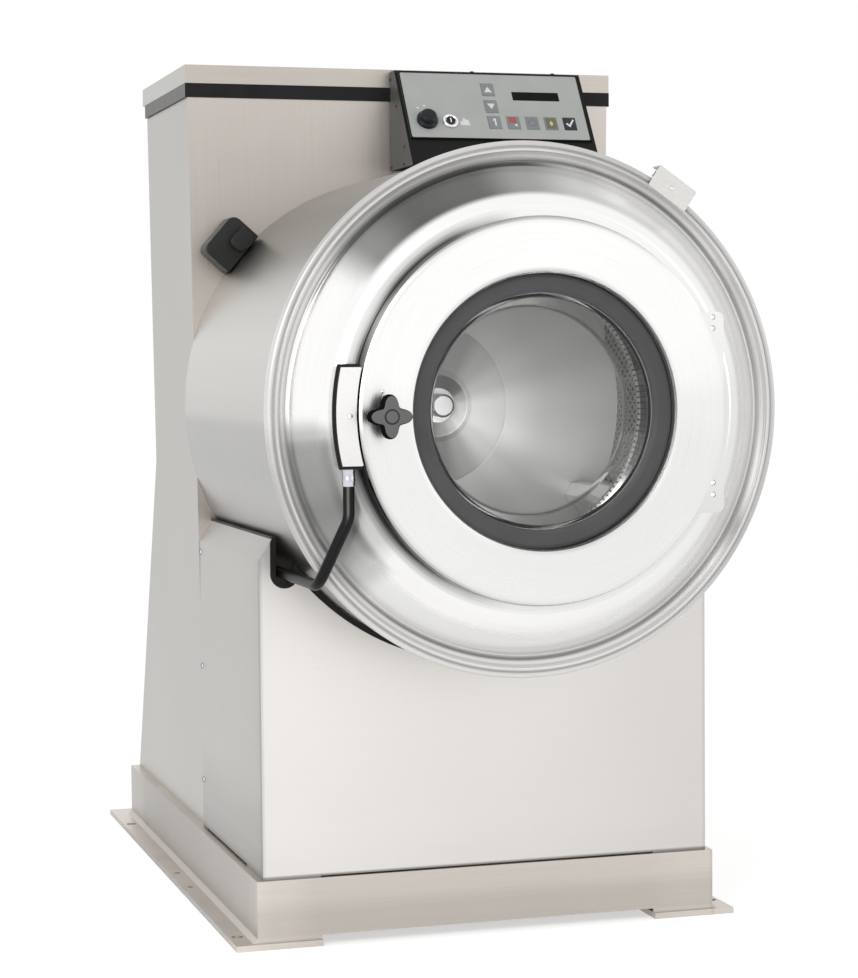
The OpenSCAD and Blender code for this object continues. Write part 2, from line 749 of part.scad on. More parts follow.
// Folded cover over the clamp bolt
module clamp_cover() {
    in = band_r - 16;
    out = band_r + 21.5;
    color([0.88, 0.86, 0.84]) in_face() at_angle(clamp_angle) {
        difference() {
            box([in, -5.4, -37], [out, -3.5, 37]);
            translate([band_r + 2, -10, 0]) rod_y(2.2, 0, 20, fine);
        }
        box([out - 2, -5.4, -37], [out, 26, 37]);
        translate([band_r + 2, -5.5, 0]) rotate([90, 0, 0]) dome_screw(4, 2, 3);
    }
}

// Door lock

module latch_outline(grow) {
    intersection() {
        difference() {
            circle(r = latch_r1 + grow, $fn = big);
            circle(r = latch_r0, $fn = big);
        }
        translate([-latch_r1 - 20, knob_z - latch_half - grow]) square([latch_r1, 2*(latch_half + grow)]);
    }
}

// The housing behind the front plate has a straight side to the door
module latch_housing_outline() {
    intersection() {
        circle(r = latch_r1, $fn = big);
        translate([-latch_r1 - 20, knob_z - latch_half]) square([latch_w + 20, 2*latch_half]);
    }
}

// The head's front as a solid, to seat the latch box on its cone
module head_solid() {
    turned() polygon([[0, 60], [0, head_y - 0.2], [head_flat_r, head_y - 0.2],
        [head_flat_r + 6, head_y + 2], [cone_r, cone_y - 0.3], [groove_r - 2, 8.6], [groove_r - 2, 60]]);
}

module latch_box() {
    color([0.84, 0.84, 0.84]) difference() {
        in_face() {
            slab_y(-76, -15) latch_housing_outline();
            slab_y(-door_front, -79) latch_outline(-1.5);
        }
        head_solid();
        in_face() box([-latch_r0 - 14, -77, knob_z - 10], [-latch_r0 + 30, dog_y + dog_t + 3, 32]);
        in_face() translate([-dog_tip, dog_y + dog_t/2, plunger_z - 1])
            cylinder(r = 4 + run, h = 33, $fn = fine);
        in_face() translate([-latch_mid_r + 7.3, -door_front - cut, -2]) rod_y(2 + run, 0, 12, fine);
        in_face() translate([-dog_tip, -64, knob_z - latch_half - 10]) cylinder(r = 6.05, h = 20, $fn = fine);
    }
}

// Black gasket between the latch box and its front plate
module latch_seal() {
    color([0.15, 0.15, 0.15]) difference() {
        in_face() slab_y(-79, -76) latch_outline(latch_seal_over);
        in_face() translate([-latch_mid_r + 7.3, -90, -2]) rod_y(2 + run, 0, 30, fine);
    }
}

// Plunger of the electric door lock, drawn back into the latch box
module lock_plunger() {
    color([0.65, 0.65, 0.66]) in_face() translate([-dog_tip, dog_y + dog_t/2, plunger_z])
        cylinder(r = 4, h = 30, $fn = fine);
}

// Star-shaped knob, from a formula with four lobes
module star_knob() {
    n = 96;
    color([0.16, 0.16, 0.17]) in_face() translate([-knob_x, 0, knob_z]) {
        slab_y(-door_front - 18 - knob_t, -door_front - 18)
            polygon([for (i = [0:n - 1]) let (a = i*360/n,
                r = knob_mean_r + knob_lobe*cos(4*a) - 0.5*cos(8*a)) [r*cos(a), r*sin(a)]]);
        rod_y(12, -door_front - 18 - knob_t - 2, -door_front - 18);
        rod_y(9, -door_front - 20, -door_front - 0.2);
    }
}

// Stem and dog behind the door plate, turned up when unlocked
module latch_dog() {
    color([0.62, 0.62, 0.63]) in_face() translate([-knob_x, 0, knob_z]) {
        rod_y(6, -door_front - 0.2, dog_y + dog_t, fine);
        box([-6, dog_y, -10], [6, dog_y + dog_t, dog_reach]);
    }
}

// Black cable conduit from the latch box, with a chrome ferrule, through the notch to the tower
conduit_points = [[-dog_tip, -64, -108], [-dog_tip, -64, -157], [-notch_x, -8, -notch_drop],
    [-notch_x, tower_front - 12, -notch_drop]];

module conduit() {
    in_face() {
        color([0.13, 0.13, 0.13]) pipe_run(conduit_points, conduit_d/2, 34);
        color([0.85, 0.85, 0.87]) {
            translate([-dog_tip, -64, -108]) cylinder(r = 9.6, h = 108 + knob_z - latch_half - seat, $fn = fine);
            translate([-dog_tip, -64, -82]) cylinder(r = 6, h = 12, $fn = fine);
            translate([-notch_x, 0, -notch_drop]) rod_y(14, tower_front - 13, tower_front - seat, fine);
        }
    }
}

// Door and hinge

// The tab plate with rounded outer corners
module tab_outline() {
    c = tab_corner;
    difference() {
        translate([0, -tab_bottom]) square([tab_right, tab_top + tab_bottom]);
        translate([tab_right - c, tab_top - c]) difference() {
            square(c + 1);
            circle(r = c, $fn = fine);
        }
        translate([tab_right - c, -tab_bottom + c]) mirror([0, 1]) difference() {
            square(c + 1);
            circle(r = c, $fn = fine);
        }
    }
}

module door_plate() {
    t = door_sheet;
    f = -door_front;
    color([0.86, 0.86, 0.86]) difference() {
        union() {
            turned() polygon([[door_hole_r, f], [door_r - 7, f + 1.5], [door_r - 2.5, f + 4],
                [door_r, f + 9], [door_r, -door_rear], [door_r - t, -door_rear], [door_r - t, f + 10],
                [door_r - 4.5, f + 6], [door_r - 8, f + 4], [door_hole_r + 3, f + t],
                [door_hole_r, f + 6], [door_hole_r, -58], [door_hole_r - t, -58],
                [door_hole_r - t, f + 4]]);
            in_face() slab_y(f, f + t) difference() {
                tab_outline();
                circle(r = door_hole_r + 25, $fn = big);
            }
        }
        in_face() box([tab_right, -200, -200], [tab_right + 60, 0, 200]);
        in_face() box([hinge_x - 32, f + t, -tab_bottom - 4], [tab_right + 20, 0, tab_top + 8]);
        in_face() translate([-knob_x, 0, knob_z]) rod_y(6 + run, f - cut, f + 20, fine);
        in_face() box([-door_r - 5, dog_y - 2, knob_z - 9], [-door_r + 12, 0, knob_z + 44]);
        door_screw_bores();
    }
}

// Hinge screws: two at the top of the tab and two at the bottom, and a small one above the knob
screw_zs = [143.4, 126.3, -114.9, -133.6];
hinge_screw_x = hinge_x - 12;
knob_screw = [-knob_x - 2.6, knob_z + 37];

module door_screw_bores() {
    for (z = screw_zs) in_face() translate([hinge_screw_x, 0, z])
        rod_y(2.5 + run, -door_front - cut, -door_front + 12, fine);
    in_face() translate([knob_screw[0], 0, knob_screw[1]])
        rod_y(1.5 + run, -door_front - cut, -door_front + 12, fine);
}

module hinge_screws() {
    color([0.78, 0.78, 0.79]) in_face() {
        for (z = screw_zs)
            translate([hinge_screw_x, -door_front - 0.1, z]) rotate([90, 0, 0]) dome_screw(4.4, 2.5, 5.5);
        translate([knob_screw[0], -door_front - 0.1, knob_screw[1]]) rotate([90, 0, 0]) dome_screw(3, 1.5, 4);
    }
}

// Hinge halves: knuckle_z gives the top and bottom of each pair
leaf_inner = 106;
leaf_outer = 148;
knuckle_r = 6.8;

module knuckle(z0, z1) { translate([hinge_x, -hinge_y, z0]) cylinder(r = knuckle_r, h = z1 - z0, $fn = fine); }

module hinge_leaf() {
    y0 = -door_front + door_sheet + 0.1;
    color([0.66, 0.66, 0.67]) difference() {
        in_face() for (s = [-1, 1]) {
            z0 = s > 0 ? leaf_inner : -leaf_outer;
            z1 = s > 0 ? leaf_outer : -leaf_inner;
            knuckle(z0, z1);
            box([hinge_x - 24, y0, z0], [hinge_x, y0 + 4, z1]);
        }
        in_face() translate([hinge_x, -hinge_y, -200]) cylinder(r = hinge_pin_d/2 + run, h = 400, $fn = fine);
        door_screw_bores();
    }
}

module hinge_bracket() {
    color([0.60, 0.60, 0.61]) difference() {
        in_face() {
            for (s = [-1, 1]) {
                z0 = s > 0 ? leaf_inner - 40 : -leaf_inner + seat;
                z1 = s > 0 ? leaf_inner - seat : -leaf_inner + 40;
                knuckle(z0, z1);
                box([hinge_x - 4, -hinge_y, z0], [hinge_x + 4, -10, z1]);
            }
            translate([hinge_x, -hinge_y, -leaf_outer - 2])
                cylinder(r = hinge_pin_d/2, h = 2*leaf_outer + 4, $fn = fine);
        }
        head_solid();
    }
}

module door_gasket() {
    color([0.22, 0.22, 0.24]) turned() difference() {
        translate([gasket_r, -62]) square([gasket_ro - gasket_r, 62 - head_rise - seat]);
        translate([gasket_r - cut, -59.3]) square([7.3, 4.6]);
    }
}

module door_glass() {
    t = glass_t;
    color([0.75, 0.80, 0.80, 0.35]) turned() polygon([
        [gasket_r + 6, -59], [gasket_r + 6, -55], [gasket_r - seat, -55],
        [glass_bottom_r, glass_depth - 8], [glass_bottom_r - 3, glass_depth - 2],
        [glass_bottom_r - 9, glass_depth], [0, glass_depth], [0, glass_depth - t],
        [glass_bottom_r - 10, glass_depth - t], [glass_bottom_r - t, glass_depth - 11],
        [gasket_r - seat - t, -59]]);
}

// Drum

module drum_cylinder() {
    t = drum_sheet;
    mouth = drum_mouth_r;
    color([0.70, 0.70, 0.70]) turned() polygon([
        [drum_r, drum_front + 4], [drum_r - 4, drum_front], [mouth + 3, drum_front], [mouth, drum_front + 3],
        [mouth, drum_front + 12], [mouth + t, drum_front + 12], [mouth + 3 + t, drum_front + t],
        [drum_r - 5, drum_front + t], [drum_r - t, drum_front + 5], [drum_r - t, drum_rear],
        [drum_r, drum_rear]]);
}

module drum_ribs() {
    r = drum_r - drum_sheet;
    color([0.74, 0.74, 0.74]) in_face() for (i = [0:lifter_count - 1])
        at_angle(90 + i*360/lifter_count)
            slab_y(drum_front + 8, drum_rear - 22) intersection() {
                circle(r = r - 0.05, $fn = big);
                polygon([[r + 10, -48], [r - rib_h + 10, -20], [r - rib_h, -12], [r - rib_h, 12],
                         [r - rib_h + 10, 20], [r + 10, 48]]);
            }
}

// Coned rear sheet with its boss and three arms behind it
module drum_back_plate() {
    hub_y = drum_rear - 96;
    step_y = drum_rear - 52;
    r = drum_r - drum_sheet - 0.05;
    color([0.68, 0.68, 0.68]) difference() {
        union() {
            turned() polygon([[r, drum_rear - 10], [146, step_y], [139, step_y - 4], [66, hub_y + 4],
                [56, hub_y - 4], [30, hub_y - 10], [30, drum_rear + 36], [72, drum_rear + 36],
                [72, hub_y + 12], [139, step_y + 3], [r, drum_rear - 4]]);
            in_face() for (i = [0:2]) at_angle(30 + i*120)
                box([60, drum_rear - 2, -22], [drum_r - 16, drum_rear + 30, 22]);
        }
        in_face() rod_y(shaft_d/2, hub_y + 10, drum_rear + 40);
        in_face() rod_y(31, hub_y - 20, hub_y + 11, mid);
    }
}

module drum_hub() {
    hub_y = drum_rear - 96;
    color([0.88, 0.88, 0.88]) turned(mid) polygon([[0, hub_y - 40], [hub_nut_d/2 - 4, hub_y - 40],
        [hub_nut_d/2, hub_y - 36], [hub_nut_d/2, hub_y - 8], [30.8, hub_y - 8], [30.8, hub_y + 10.7],
        [0, hub_y + 10.7]]);
}

module drum_shaft() {
    color([0.60, 0.60, 0.61]) in_face() rod_y(shaft_d/2 - 0.02, drum_rear - 85, shaft_end);
}

module drum_pulley() {
    r = drum_pulley_d/2;
    y0 = pulley_y;
    color([0.36, 0.37, 0.38]) difference() {
        turned() polygon([[shaft_d/2, y0 - 8], [shaft_d/2 + 26, y0 - 8], [shaft_d/2 + 26, y0 + 18],
            [r - 20, y0 + 18], [r - 20, y0], [r, y0], [r, y0 + pulley_w], [r - 20, y0 + pulley_w],
            [r - 20, y0 + 32], [shaft_d/2 + 26, y0 + 32], [shaft_d/2 + 26, y0 + pulley_w], [shaft_d/2, y0 + pulley_w]]);
        in_face() for (i = [0:4]) at_angle(i*72) translate([(r + shaft_d/2)/2, 0, 0])
            rod_y(46, y0 + 10, y0 + 40);
    }
}

// Drive

module bearing_housing() {
    y0 = housing_y;
    ri = bearing_d/2 + 0.02;
    color([0.42, 0.43, 0.44]) turned() polygon([
        [ri, y0 + 4], [ri - 8, y0 + 4], [ri - 8, y0], [housing_d/2 + 50, y0], [housing_d/2 + 50, y0 + 16],
        [housing_d/2, y0 + 26], [housing_d/2, y0 + housing_len - 34],
        [housing_d/2 - 12, y0 + housing_len], [ri, y0 + housing_len]]);
}

module shaft_bearings() {
    color([0.72, 0.72, 0.73]) for (y = [housing_y + 24, housing_y + housing_len - bearing_w])
        turned(mid) translate([shaft_d/2 + run, y]) square([bearing_d/2 - shaft_d/2 - run, bearing_w]);
}

module shaft_seal() {
    color([0.12, 0.12, 0.12]) turned(mid)
        translate([shaft_d/2 + run, housing_y + 4.2]) square([bearing_d/2 - shaft_d/2 - run, 12]);
}

module motor_mount() {
    top = base_z + motor_stand;
    color([0.48, 0.49, 0.50]) in_face() {
        box([-mount_half, tower_front + 8, top - 8], [mount_half, mount_end, top]);
        for (x = [10 - mount_half, mount_half - 50], y = [tower_front + 10, mount_end - 50])
            box([x, y, base_z], [x + 40, y + 40, top - 4]);
    }
}

module at_motor() { in_face() translate([0, 0, -motor_drop]) children(); }

module motor_housing() {
    y0 = tower_front + 26;
    y1 = pulley_y - 28;
    color([0.33, 0.36, 0.40]) at_motor() difference() {
        union() {
            rod_y(motor_d/2, y0 + 20, y1 - 24);
            rod_y(motor_d/2 - 10, y0, y1);
            for (x = [-90, 60]) box([x, y0 + 30, -motor_d/2 - 6], [x + 30, y1 - 40, -40]);
            box([20, y0 + 60, 40], [100, y0 + 150, 110]);
        }
        rod_y(motor_shaft_d/2 + run, y1 - 90, y1 + cut, fine);
    }
}

module motor_pulley() {
    y1 = pulley_y - 28;
    color([0.40, 0.41, 0.42]) at_motor() {
        rod_y(motor_shaft_d/2, y1 - 88, shaft_end, fine);
        rod_y(motor_pulley_d/2, pulley_y, pulley_y + pulley_w);
        rod_y(motor_shaft_d/2 + 12, pulley_y - 10, pulley_y + 5);
    }
}

// Flat belt round the two pulleys, from one closed outline for each of its faces
module drive_belt() {
    color([0.10, 0.10, 0.10]) in_face() slab_y(pulley_y + 4, pulley_y + pulley_w - 4) difference() {
        polygon(belt_points(seat + belt_t));
        polygon(belt_points(seat));
    }
}

function heading(a) = [cos(a), sin(a)];
function belt_points(grow) = let (
    b = acos((drum_pulley_d - motor_pulley_d)/2/motor_drop),
    r1 = drum_pulley_d/2 + grow,
    r2 = motor_pulley_d/2 + grow,
    top = 360 - 2*b)
    concat([for (i = [0:90]) r1*heading(b - 90 + i*top/90)],
           [for (i = [0:30]) [0, -motor_drop] + r2*heading(-90 - b + i*2*b/30)]);

module inverter_box() {
    color([0.30, 0.31, 0.33]) in_face() {
        top = tower_top_z - 65;
        box([40, tower_front + panel_sheet + 0.2, top - 200], [270, tower_front + 150, top]);
        for (i = [0:7])
            box([52 + i*26, tower_front + 149, top - 190], [58 + i*26, tower_front + 176, top - 10]);
    }
}

// Control box

control_tilt = 90 - control_lean;
face_len = control_h/cos(control_lean);

// Control face frame: X right and Y up the slope from its top left corner, Z outward
module in_control() {
    in_face() translate([control_left, control_front, control_top])
        rotate([control_tilt, 0, 0]) children();
}

// Side outline of the control box, shrunk by a sheet's thickness
module control_side(t) {
    drop = control_h*tan(control_lean);
    k = t/cos(control_lean);
    polygon([[control_back - t, control_bottom + t], [control_back - t, control_top - t],
             [control_front + k - t*tan(control_lean), control_top - t],
             [control_front - drop + k + t*tan(control_lean), control_bottom + t]]);
}

// Screws in the left side of the control box: how far behind the face, how far below the top
control_screws = [[32.4, 14.4], [29.5, 66], [28.5, 143], [54.6, 173.6], [132.4, 173.6]];
function control_face_y(drop) = control_front - drop*tan(control_lean);

panel_w = control_w - 12;
panel_h = 151;
panel_top = 4;
knob_at = [41.8, 116.2];
lock_at = [85, 118];
row_at = [169, 117.5];
up_at = [169, 42.5];
down_at = [169, 81];
display_at = [258.6, 55.8];
display_size = [90, 20];

// Positions on the control face go right and down from its top left corner
module on_face(p, z = 0) { in_control() translate([p[0], -p[1], z]) children(); }

module control_box() {
    color([0.14, 0.14, 0.15]) {
        difference() {
            in_face() slab_x(control_left, control_left + control_w) control_side(0);
            in_face() slab_x(control_left + 2, control_left + control_w - 2) control_side(2);
            in_face() translate([control_left + 180, 0, control_bottom + 60])
                rod_y(16, control_back - 6, control_back + 2, fine);
            in_control() translate([14, -panel_h - panel_top + 8, -6]) cube([control_w - 28, panel_h - 16, 12]);
            for (p = control_screws) in_face()
                translate([control_left - cut, control_face_y(p[1]) + p[0], control_top - p[1]])
                    rotate([0, 90, 0]) cylinder(r = 1.4 + run, h = 5, $fn = fine);
        }
        for (x = [40, control_w - 40])
            in_face() translate([control_left + x, 0, control_bottom + 30])
                rod_y(10, control_back - 1, tower_front - 0.2, fine);
    }
}

module control_face() {
    color([0.60, 0.61, 0.61]) difference() {
        in_control() translate([6, -panel_h - panel_top, 0.1]) cube([panel_w, panel_h, 3]);
        on_face(knob_at, -5) cylinder(r = 8 + run, h = 20, $fn = fine);
        on_face(lock_at, -5) cylinder(d = lock_d - 6 + 2*run, h = 20, $fn = fine);
        for (p = key_places()) on_face(p, -5) key_block(0.3, 20);
        on_face(display_at, 1) translate([-display_size[0]/2, -display_size[1]/2, 0])
            cube([display_size[0], display_size[1], 5]);
    }
}

function key_places() = concat([up_at, down_at], [for (i = [0:4]) row_at + [i*key_pitch, 0]]);

module key_block(grow, h) {
    translate([-key_w/2 - grow, -key_h/2 - grow, 0]) cube([key_w + 2*grow, key_h + 2*grow, h]);
}

module display_window() {
    color([0.03, 0.03, 0.03]) on_face(display_at, 1.1)
        translate([-display_size[0]/2 + 0.2, -display_size[1]/2 + 0.2, 0])
            cube([display_size[0] - 0.4, display_size[1] - 0.4, 1.5]);
}

// A key cap that stands proud of the face by a little more than its travel
module key_cap(p, tint) {
    color(tint) on_face(p, 0.5) key_block(0, 3.6);
}

module key_up() { key_cap(up_at, [0.42, 0.44, 0.47]); }
module key_down() { key_cap(down_at, [0.42, 0.44, 0.47]); }
module key_1() { key_cap(row_at, [0.42, 0.44, 0.47]); }
module key_2() { key_cap(row_at + [key_pitch, 0], [0.62, 0.38, 0.38]); }
module key_3() { key_cap(row_at + [2*key_pitch, 0], [0.40, 0.42, 0.44]); }
module key_4() { key_cap(row_at + [3*key_pitch, 0], [0.45, 0.46, 0.36]); }
module key_5() { key_cap(row_at + [4*key_pitch, 0], [0.15, 0.15, 0.18]); }

module master_switch() {
    color([0.10, 0.10, 0.11]) on_face(knob_at) {
        translate([0, 0, 3.3]) cylinder(d = switch_d, h = 9, $fn = mid);
        translate([0, 0, 3.3]) cylinder(d = switch_d - 9, h = 20, $fn = mid);
        translate([0, 0, -4]) cylinder(r = 8, h = 8, $fn = fine);
    }
}

module key_switch() {
    color([0.70, 0.70, 0.71]) on_face(lock_at) difference() {
        union() {
            translate([0, 0, 3.3]) cylinder(d = lock_d, h = 5, $fn = mid);
            translate([0, 0, -4]) cylinder(d = lock_d - 6, h = 13, $fn = mid);
        }
        translate([-1, -4.5, 5]) cube([2, 9, 10]);
    }
}

// Supply chute

module in_chute() { in_face() at_angle(chute_angle) children(); }

chute_r0 = shell_r + 0.2;
chute_r1 = shell_r + chute_h;
chute_y1 = tower_front - seat;
chute_y0 = chute_y1 - chute_depth;

module chute_body() {
    w = chute_w/2;
    color([0.15, 0.15, 0.15]) difference() {
        in_chute() {
            chute_block(chute_y0, chute_y1, 0);
            for (s = [-1, 1]) translate([chute_r1 + 4, chute_y0 + 4, s*(w - 22) - 5])
                union() { cylinder(r = 4, h = 10, $fn = fine); box([-8, -4, 0], [0, 4, 10]); }
            translate([chute_r1 + 4, chute_y0 + 4, -w + 12]) cylinder(r = 2, h = 2*w - 24, $fn = fine);
        }
        turned() square([chute_r0, 900]);
        in_chute() box([shell_r - 4, chute_y0 - cut, -w + 14], [chute_r1 - 8, chute_y1 - 6, w - 14]);
    }
}

// Block of the chute with rounded outer corners
module chute_block(y0, y1, inset) {
    w = chute_w/2 - inset;
    c = 14;
    box([shell_r - 10, y0, -w], [chute_r1 - c, y1, w]);
    box([chute_r1 - c - 1, y0, -w + c], [chute_r1 - inset, y1, w - c]);
    for (s = [-1, 1]) translate([chute_r1 - inset - c, y0, s*(w - c)]) rotate([-90, 0, 0])
        cylinder(r = c, h = y1 - y0, $fn = fine);
}

module chute_lid() {
    w = chute_w/2;
    y1 = chute_y0 - 0.3;
    color([0.17, 0.17, 0.17]) difference() {
        in_chute() {
            difference() {
                chute_block(y1 - 7, y1, 0);
                box([shell_r - 20, 0, -w - 1], [shell_r + 1.2, 900, w + 1]);
            }
            box([shell_r + 6, y1 - 26, -w + 8], [shell_r + chute_h*0.62, y1 - 6, 4]);
            difference() {
                union() {
                    translate([chute_r1 + 4, chute_y0 + 4, -9]) cylinder(r = 3.7, h = 18, $fn = fine);
                    box([chute_r1 - 3, y1 - 7, -9], [chute_r1 + 8, y1, 9]);
                    box([chute_r1 + 1, y1 - 2, -9], [chute_r1 + 8, chute_y0 + 4, 9]);
                }
                translate([chute_r1 + 4, chute_y0 + 4, -20]) cylinder(r = 2 + run, h = 40, $fn = fine);
            }
        }
        turned() square([shell_r + 0.9, 900]);
    }
}

// Drain and water

valve_top = -shell_r - 25.2;
valve_mid = valve_top - 50;

module drain_valve_body() {
    color([0.20, 0.20, 0.21]) in_face() difference() {
        union() {
            translate([0, valve_y, valve_top - 100]) cylinder(r = stub_r + 12, h = 100, $fn = mid);
            box([58, valve_y - 35, valve_mid - 30], [130, valve_y + 35, valve_mid + 40]);
            translate([40, valve_y, valve_mid]) rotate([0, 90, 0]) cylinder(r = 12, h = 30, $fn = fine);
        }
        translate([0, valve_y, valve_top - 101]) cylinder(r = stub_r, h = 102, $fn = mid);
        translate([-45, valve_y, valve_mid]) rotate([0, 90, 0]) cylinder(r = 4 + run, h = 130, $fn = fine);
    }
}

// Butterfly disc on its spindle, open at rest
module drain_disc() {
    color([0.68, 0.68, 0.69]) in_face() translate([0, valve_y, valve_mid]) {
        rod_y(stub_r - 0.6, -2, 2);
        translate([-44, 0, 0]) rotate([0, 90, 0]) cylinder(r = 4, h = 125, $fn = fine);
    }
}

module drain_pipe() {
    r = drain_d/2 - 1;
    top = valve_top - 100.2;
    end_y = tower_rear_base + 50;
    run_points = [[0, valve_y, top], [0, valve_y, drain_z], [-drain_x, valve_y + 120, drain_z],
        [-drain_x, end_y, drain_z]];
    color([0.28, 0.28, 0.29]) in_face() difference() {
        union() {
            pipe_run(run_points, r, 60, mid);
            translate([-drain_x, 0, drain_z]) rod_y(drain_d/2, end_y - drain_grip, end_y);
        }
        pipe_run([run_points[0] + [0, 0, 1], run_points[1], run_points[2], run_points[3] + [0, 2, 0]], r - 4, 60, mid);
    }
}

// Two solenoid valves with hose threads, and the fill pipe into the shell
module inlet_valves() {
    color([0.66, 0.58, 0.40]) in_face() {
        box([inlet_xs[0] - 30, tower_rear - 44, inlet_z - 34], [inlet_xs[1] + 30, tower_rear - 2.2, inlet_z + 30]);
        for (x = inlet_xs) {
            translate([x, 0, inlet_z]) rod_y(inlet_d/2 - 0.5, tower_rear - 10, tower_rear + 5, fine);
            translate([x, 0, inlet_z]) rod_y(inlet_d/2, tower_rear + 4, tower_rear + 26, fine);
            box([x - 16, tower_rear - 60, inlet_z + 4], [x + 16, tower_rear - 40, inlet_z + 64]);
        }
        translate([inlet_xs[1], 0, inlet_z - 20]) rod_y(12.8, plate_y - 4, tower_rear - 30, fine);
    }
}

base_frame();
rear_frame();
tower_casing();
tower_back_cover();
top_cap();
cap_strip();
front_panel();
side_panel_left();
side_panel_right();
cover_screws();
cradle_trim();
tub_shell();
shell_front();
clamp_band();
clamp_cover();
clamp_bolt();
latch_box();
latch_seal();
conduit();
hinge_bracket();
bearing_housing();
shaft_bearings();
shaft_seal();
motor_mount();
motor_housing();
drive_belt();
inverter_box();
control_box();
control_face();
display_window();
chute_body();
drain_valve_body();
drain_pipe();
inlet_valves();
drum_cylinder();
drum_ribs();
drum_back_plate();
drum_hub();
drum_shaft();
drum_pulley();
motor_pulley();
door_plate();
door_gasket();
door_glass();
hinge_leaf();
hinge_screws();
star_knob();
latch_dog();
lock_plunger();
chute_lid();
master_switch();
key_switch();
key_up();
key_down();
key_1();
key_2();
key_3();
key_4();
key_5();
drain_disc();
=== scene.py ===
"""Looks of a front-loading commercial washing machine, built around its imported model."""

import math

import bmesh
import bpy
from mathutils import Matrix, Vector


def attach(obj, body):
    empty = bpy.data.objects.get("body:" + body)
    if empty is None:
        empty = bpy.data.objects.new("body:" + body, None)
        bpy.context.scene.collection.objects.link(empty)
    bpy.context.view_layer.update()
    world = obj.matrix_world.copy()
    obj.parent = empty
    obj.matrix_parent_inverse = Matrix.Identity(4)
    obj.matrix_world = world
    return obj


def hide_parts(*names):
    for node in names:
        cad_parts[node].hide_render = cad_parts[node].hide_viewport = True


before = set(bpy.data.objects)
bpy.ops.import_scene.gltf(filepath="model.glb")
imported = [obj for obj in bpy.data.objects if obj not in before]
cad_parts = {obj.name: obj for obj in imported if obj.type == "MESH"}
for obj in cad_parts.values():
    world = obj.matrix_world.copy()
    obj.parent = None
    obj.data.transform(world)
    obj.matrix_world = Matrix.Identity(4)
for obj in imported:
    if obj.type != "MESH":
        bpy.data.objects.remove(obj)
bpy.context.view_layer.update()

# The face frame is in millimetres: x to the right, y back from the clamp band's
# front plane, z up from the drum's axis. FACE_Y and AXIS_Z place it, in metres.
MM = 0.001
FACE_Y = -0.773
AXIS_Z = 0.870

# The control face's top left corner, and how far the face leans back
PANEL_X, PANEL_Y, PANEL_Z = -24, 664.7, 603.0
PANEL_LEAN = math.radians(33)

# Fineness of rounded edges and bent tubes, and how much of a side a rounded corner may take
BEVEL_STEPS = 3
BEND_STEPS = 10
TUBE_SIDES = 28
SIDE_SHARE = 0.49

# From display levels to linear light, and the grain of spun sheets for each radian
GAMMA = 2.2
GRAIN_ROUND = 2.2


def spot(x, y, z):
    """A point of the face frame, in metres of the shared frame."""
    return Vector((x * MM, y * MM + FACE_Y, z * MM + AXIS_Z))


def panel_spot(s, t, out):
    """A point of the control face: right and down from its top left corner, and out."""
    y = PANEL_Y - t * math.sin(PANEL_LEAN) - out * math.cos(PANEL_LEAN)
    z = PANEL_Z - t * math.cos(PANEL_LEAN) + out * math.sin(PANEL_LEAN)
    return spot(PANEL_X + s, y, z)


def ring_point(angle, r, y, t=0.0):
    """A point at an angle round the drum's axis, moved t along the tangent."""
    c, s = math.cos(angle), math.sin(angle)
    return spot(r * c - t * s, y, r * s + t * c)


def along_y(x=0.0, y=0.0, z=0.0):
    """Where a lathe sets its points when its axis runs back from a point."""
    return lambda r, h, a: spot(x + r * math.cos(a), y + h, z + r * math.sin(a))


def along_z(x, y, z):
    """Where a lathe sets its points when its axis runs up from a point."""
    return lambda r, h, a: spot(x + r * math.cos(a), y + r * math.sin(a), z + h)


def out_of_panel(s, t):
    """Where a lathe sets its points when its axis stands out of the control face."""
    return lambda r, h, a: panel_spot(s + r * math.cos(a), t + r * math.sin(a), h)


# Mesh tools


def add_object(name, data):
    """A new object in the scene."""
    obj = bpy.data.objects.new(name, data)
    bpy.context.scene.collection.objects.link(obj)
    return obj


def add_mesh(name, bm, material):
    """A new object from a finished mesh, in one material."""
    mesh = bpy.data.meshes.new(name)
    bm.to_mesh(mesh)
    bm.free()
    mesh.materials.append(material)
    return add_object(name, mesh)


def finish_mesh(name, bm, material, body, slot, replaces=(), sharp=32):
    """Makes the object, smooth up to the sharp angle, and lets it ride its body."""
    bmesh.ops.remove_doubles(bm, verts=bm.verts, dist=1e-6)
    bmesh.ops.recalc_face_normals(bm, faces=bm.faces)
    obj = add_mesh(name, bm, material)
    for poly in obj.data.polygons:
        poly.use_smooth = True
    obj.data.set_sharp_from_angle(angle=math.radians(sharp))
    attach(obj, body)
    if replaces:
        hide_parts(*replaces)


def fillet(points, steps):
    """Rounds the corners of a closed outline. A point is (u, v) or (u, v, radius)."""
    out = []
    for i, point in enumerate(points):
        here = Vector(point[:2])
        radius = point[2] if len(point) > 2 else 0
        if radius <= 0:
            out.append((here.x, here.y))
            continue
        before = Vector(points[i - 1][:2]) - here
        after = Vector(points[(i + 1) % len(points)][:2]) - here
        corner = before.angle(after)
        if corner > math.pi - 1e-3:
            out.append((here.x, here.y))
            continue
        half = math.tan(corner / 2)
        reach = min(radius / half, before.length * SIDE_SHARE, after.length * SIDE_SHARE)
        radius = reach * half
        a = here + before.normalized() * reach
        b = here + after.normalized() * reach
        between = (before.normalized() + after.normalized()).normalized()
        middle = here + between * (radius / math.sin(corner / 2))
        start = math.atan2(a.y - middle.y, a.x - middle.x)
        turn = math.atan2(b.y - middle.y, b.x - middle.x) - start
        turn = (turn + math.pi) % (2 * math.pi) - math.pi
        for k in range(steps + 1):
            q = start + turn * k / steps
            out.append((middle.x + radius * math.cos(q), middle.y + radius * math.sin(q)))
    return out


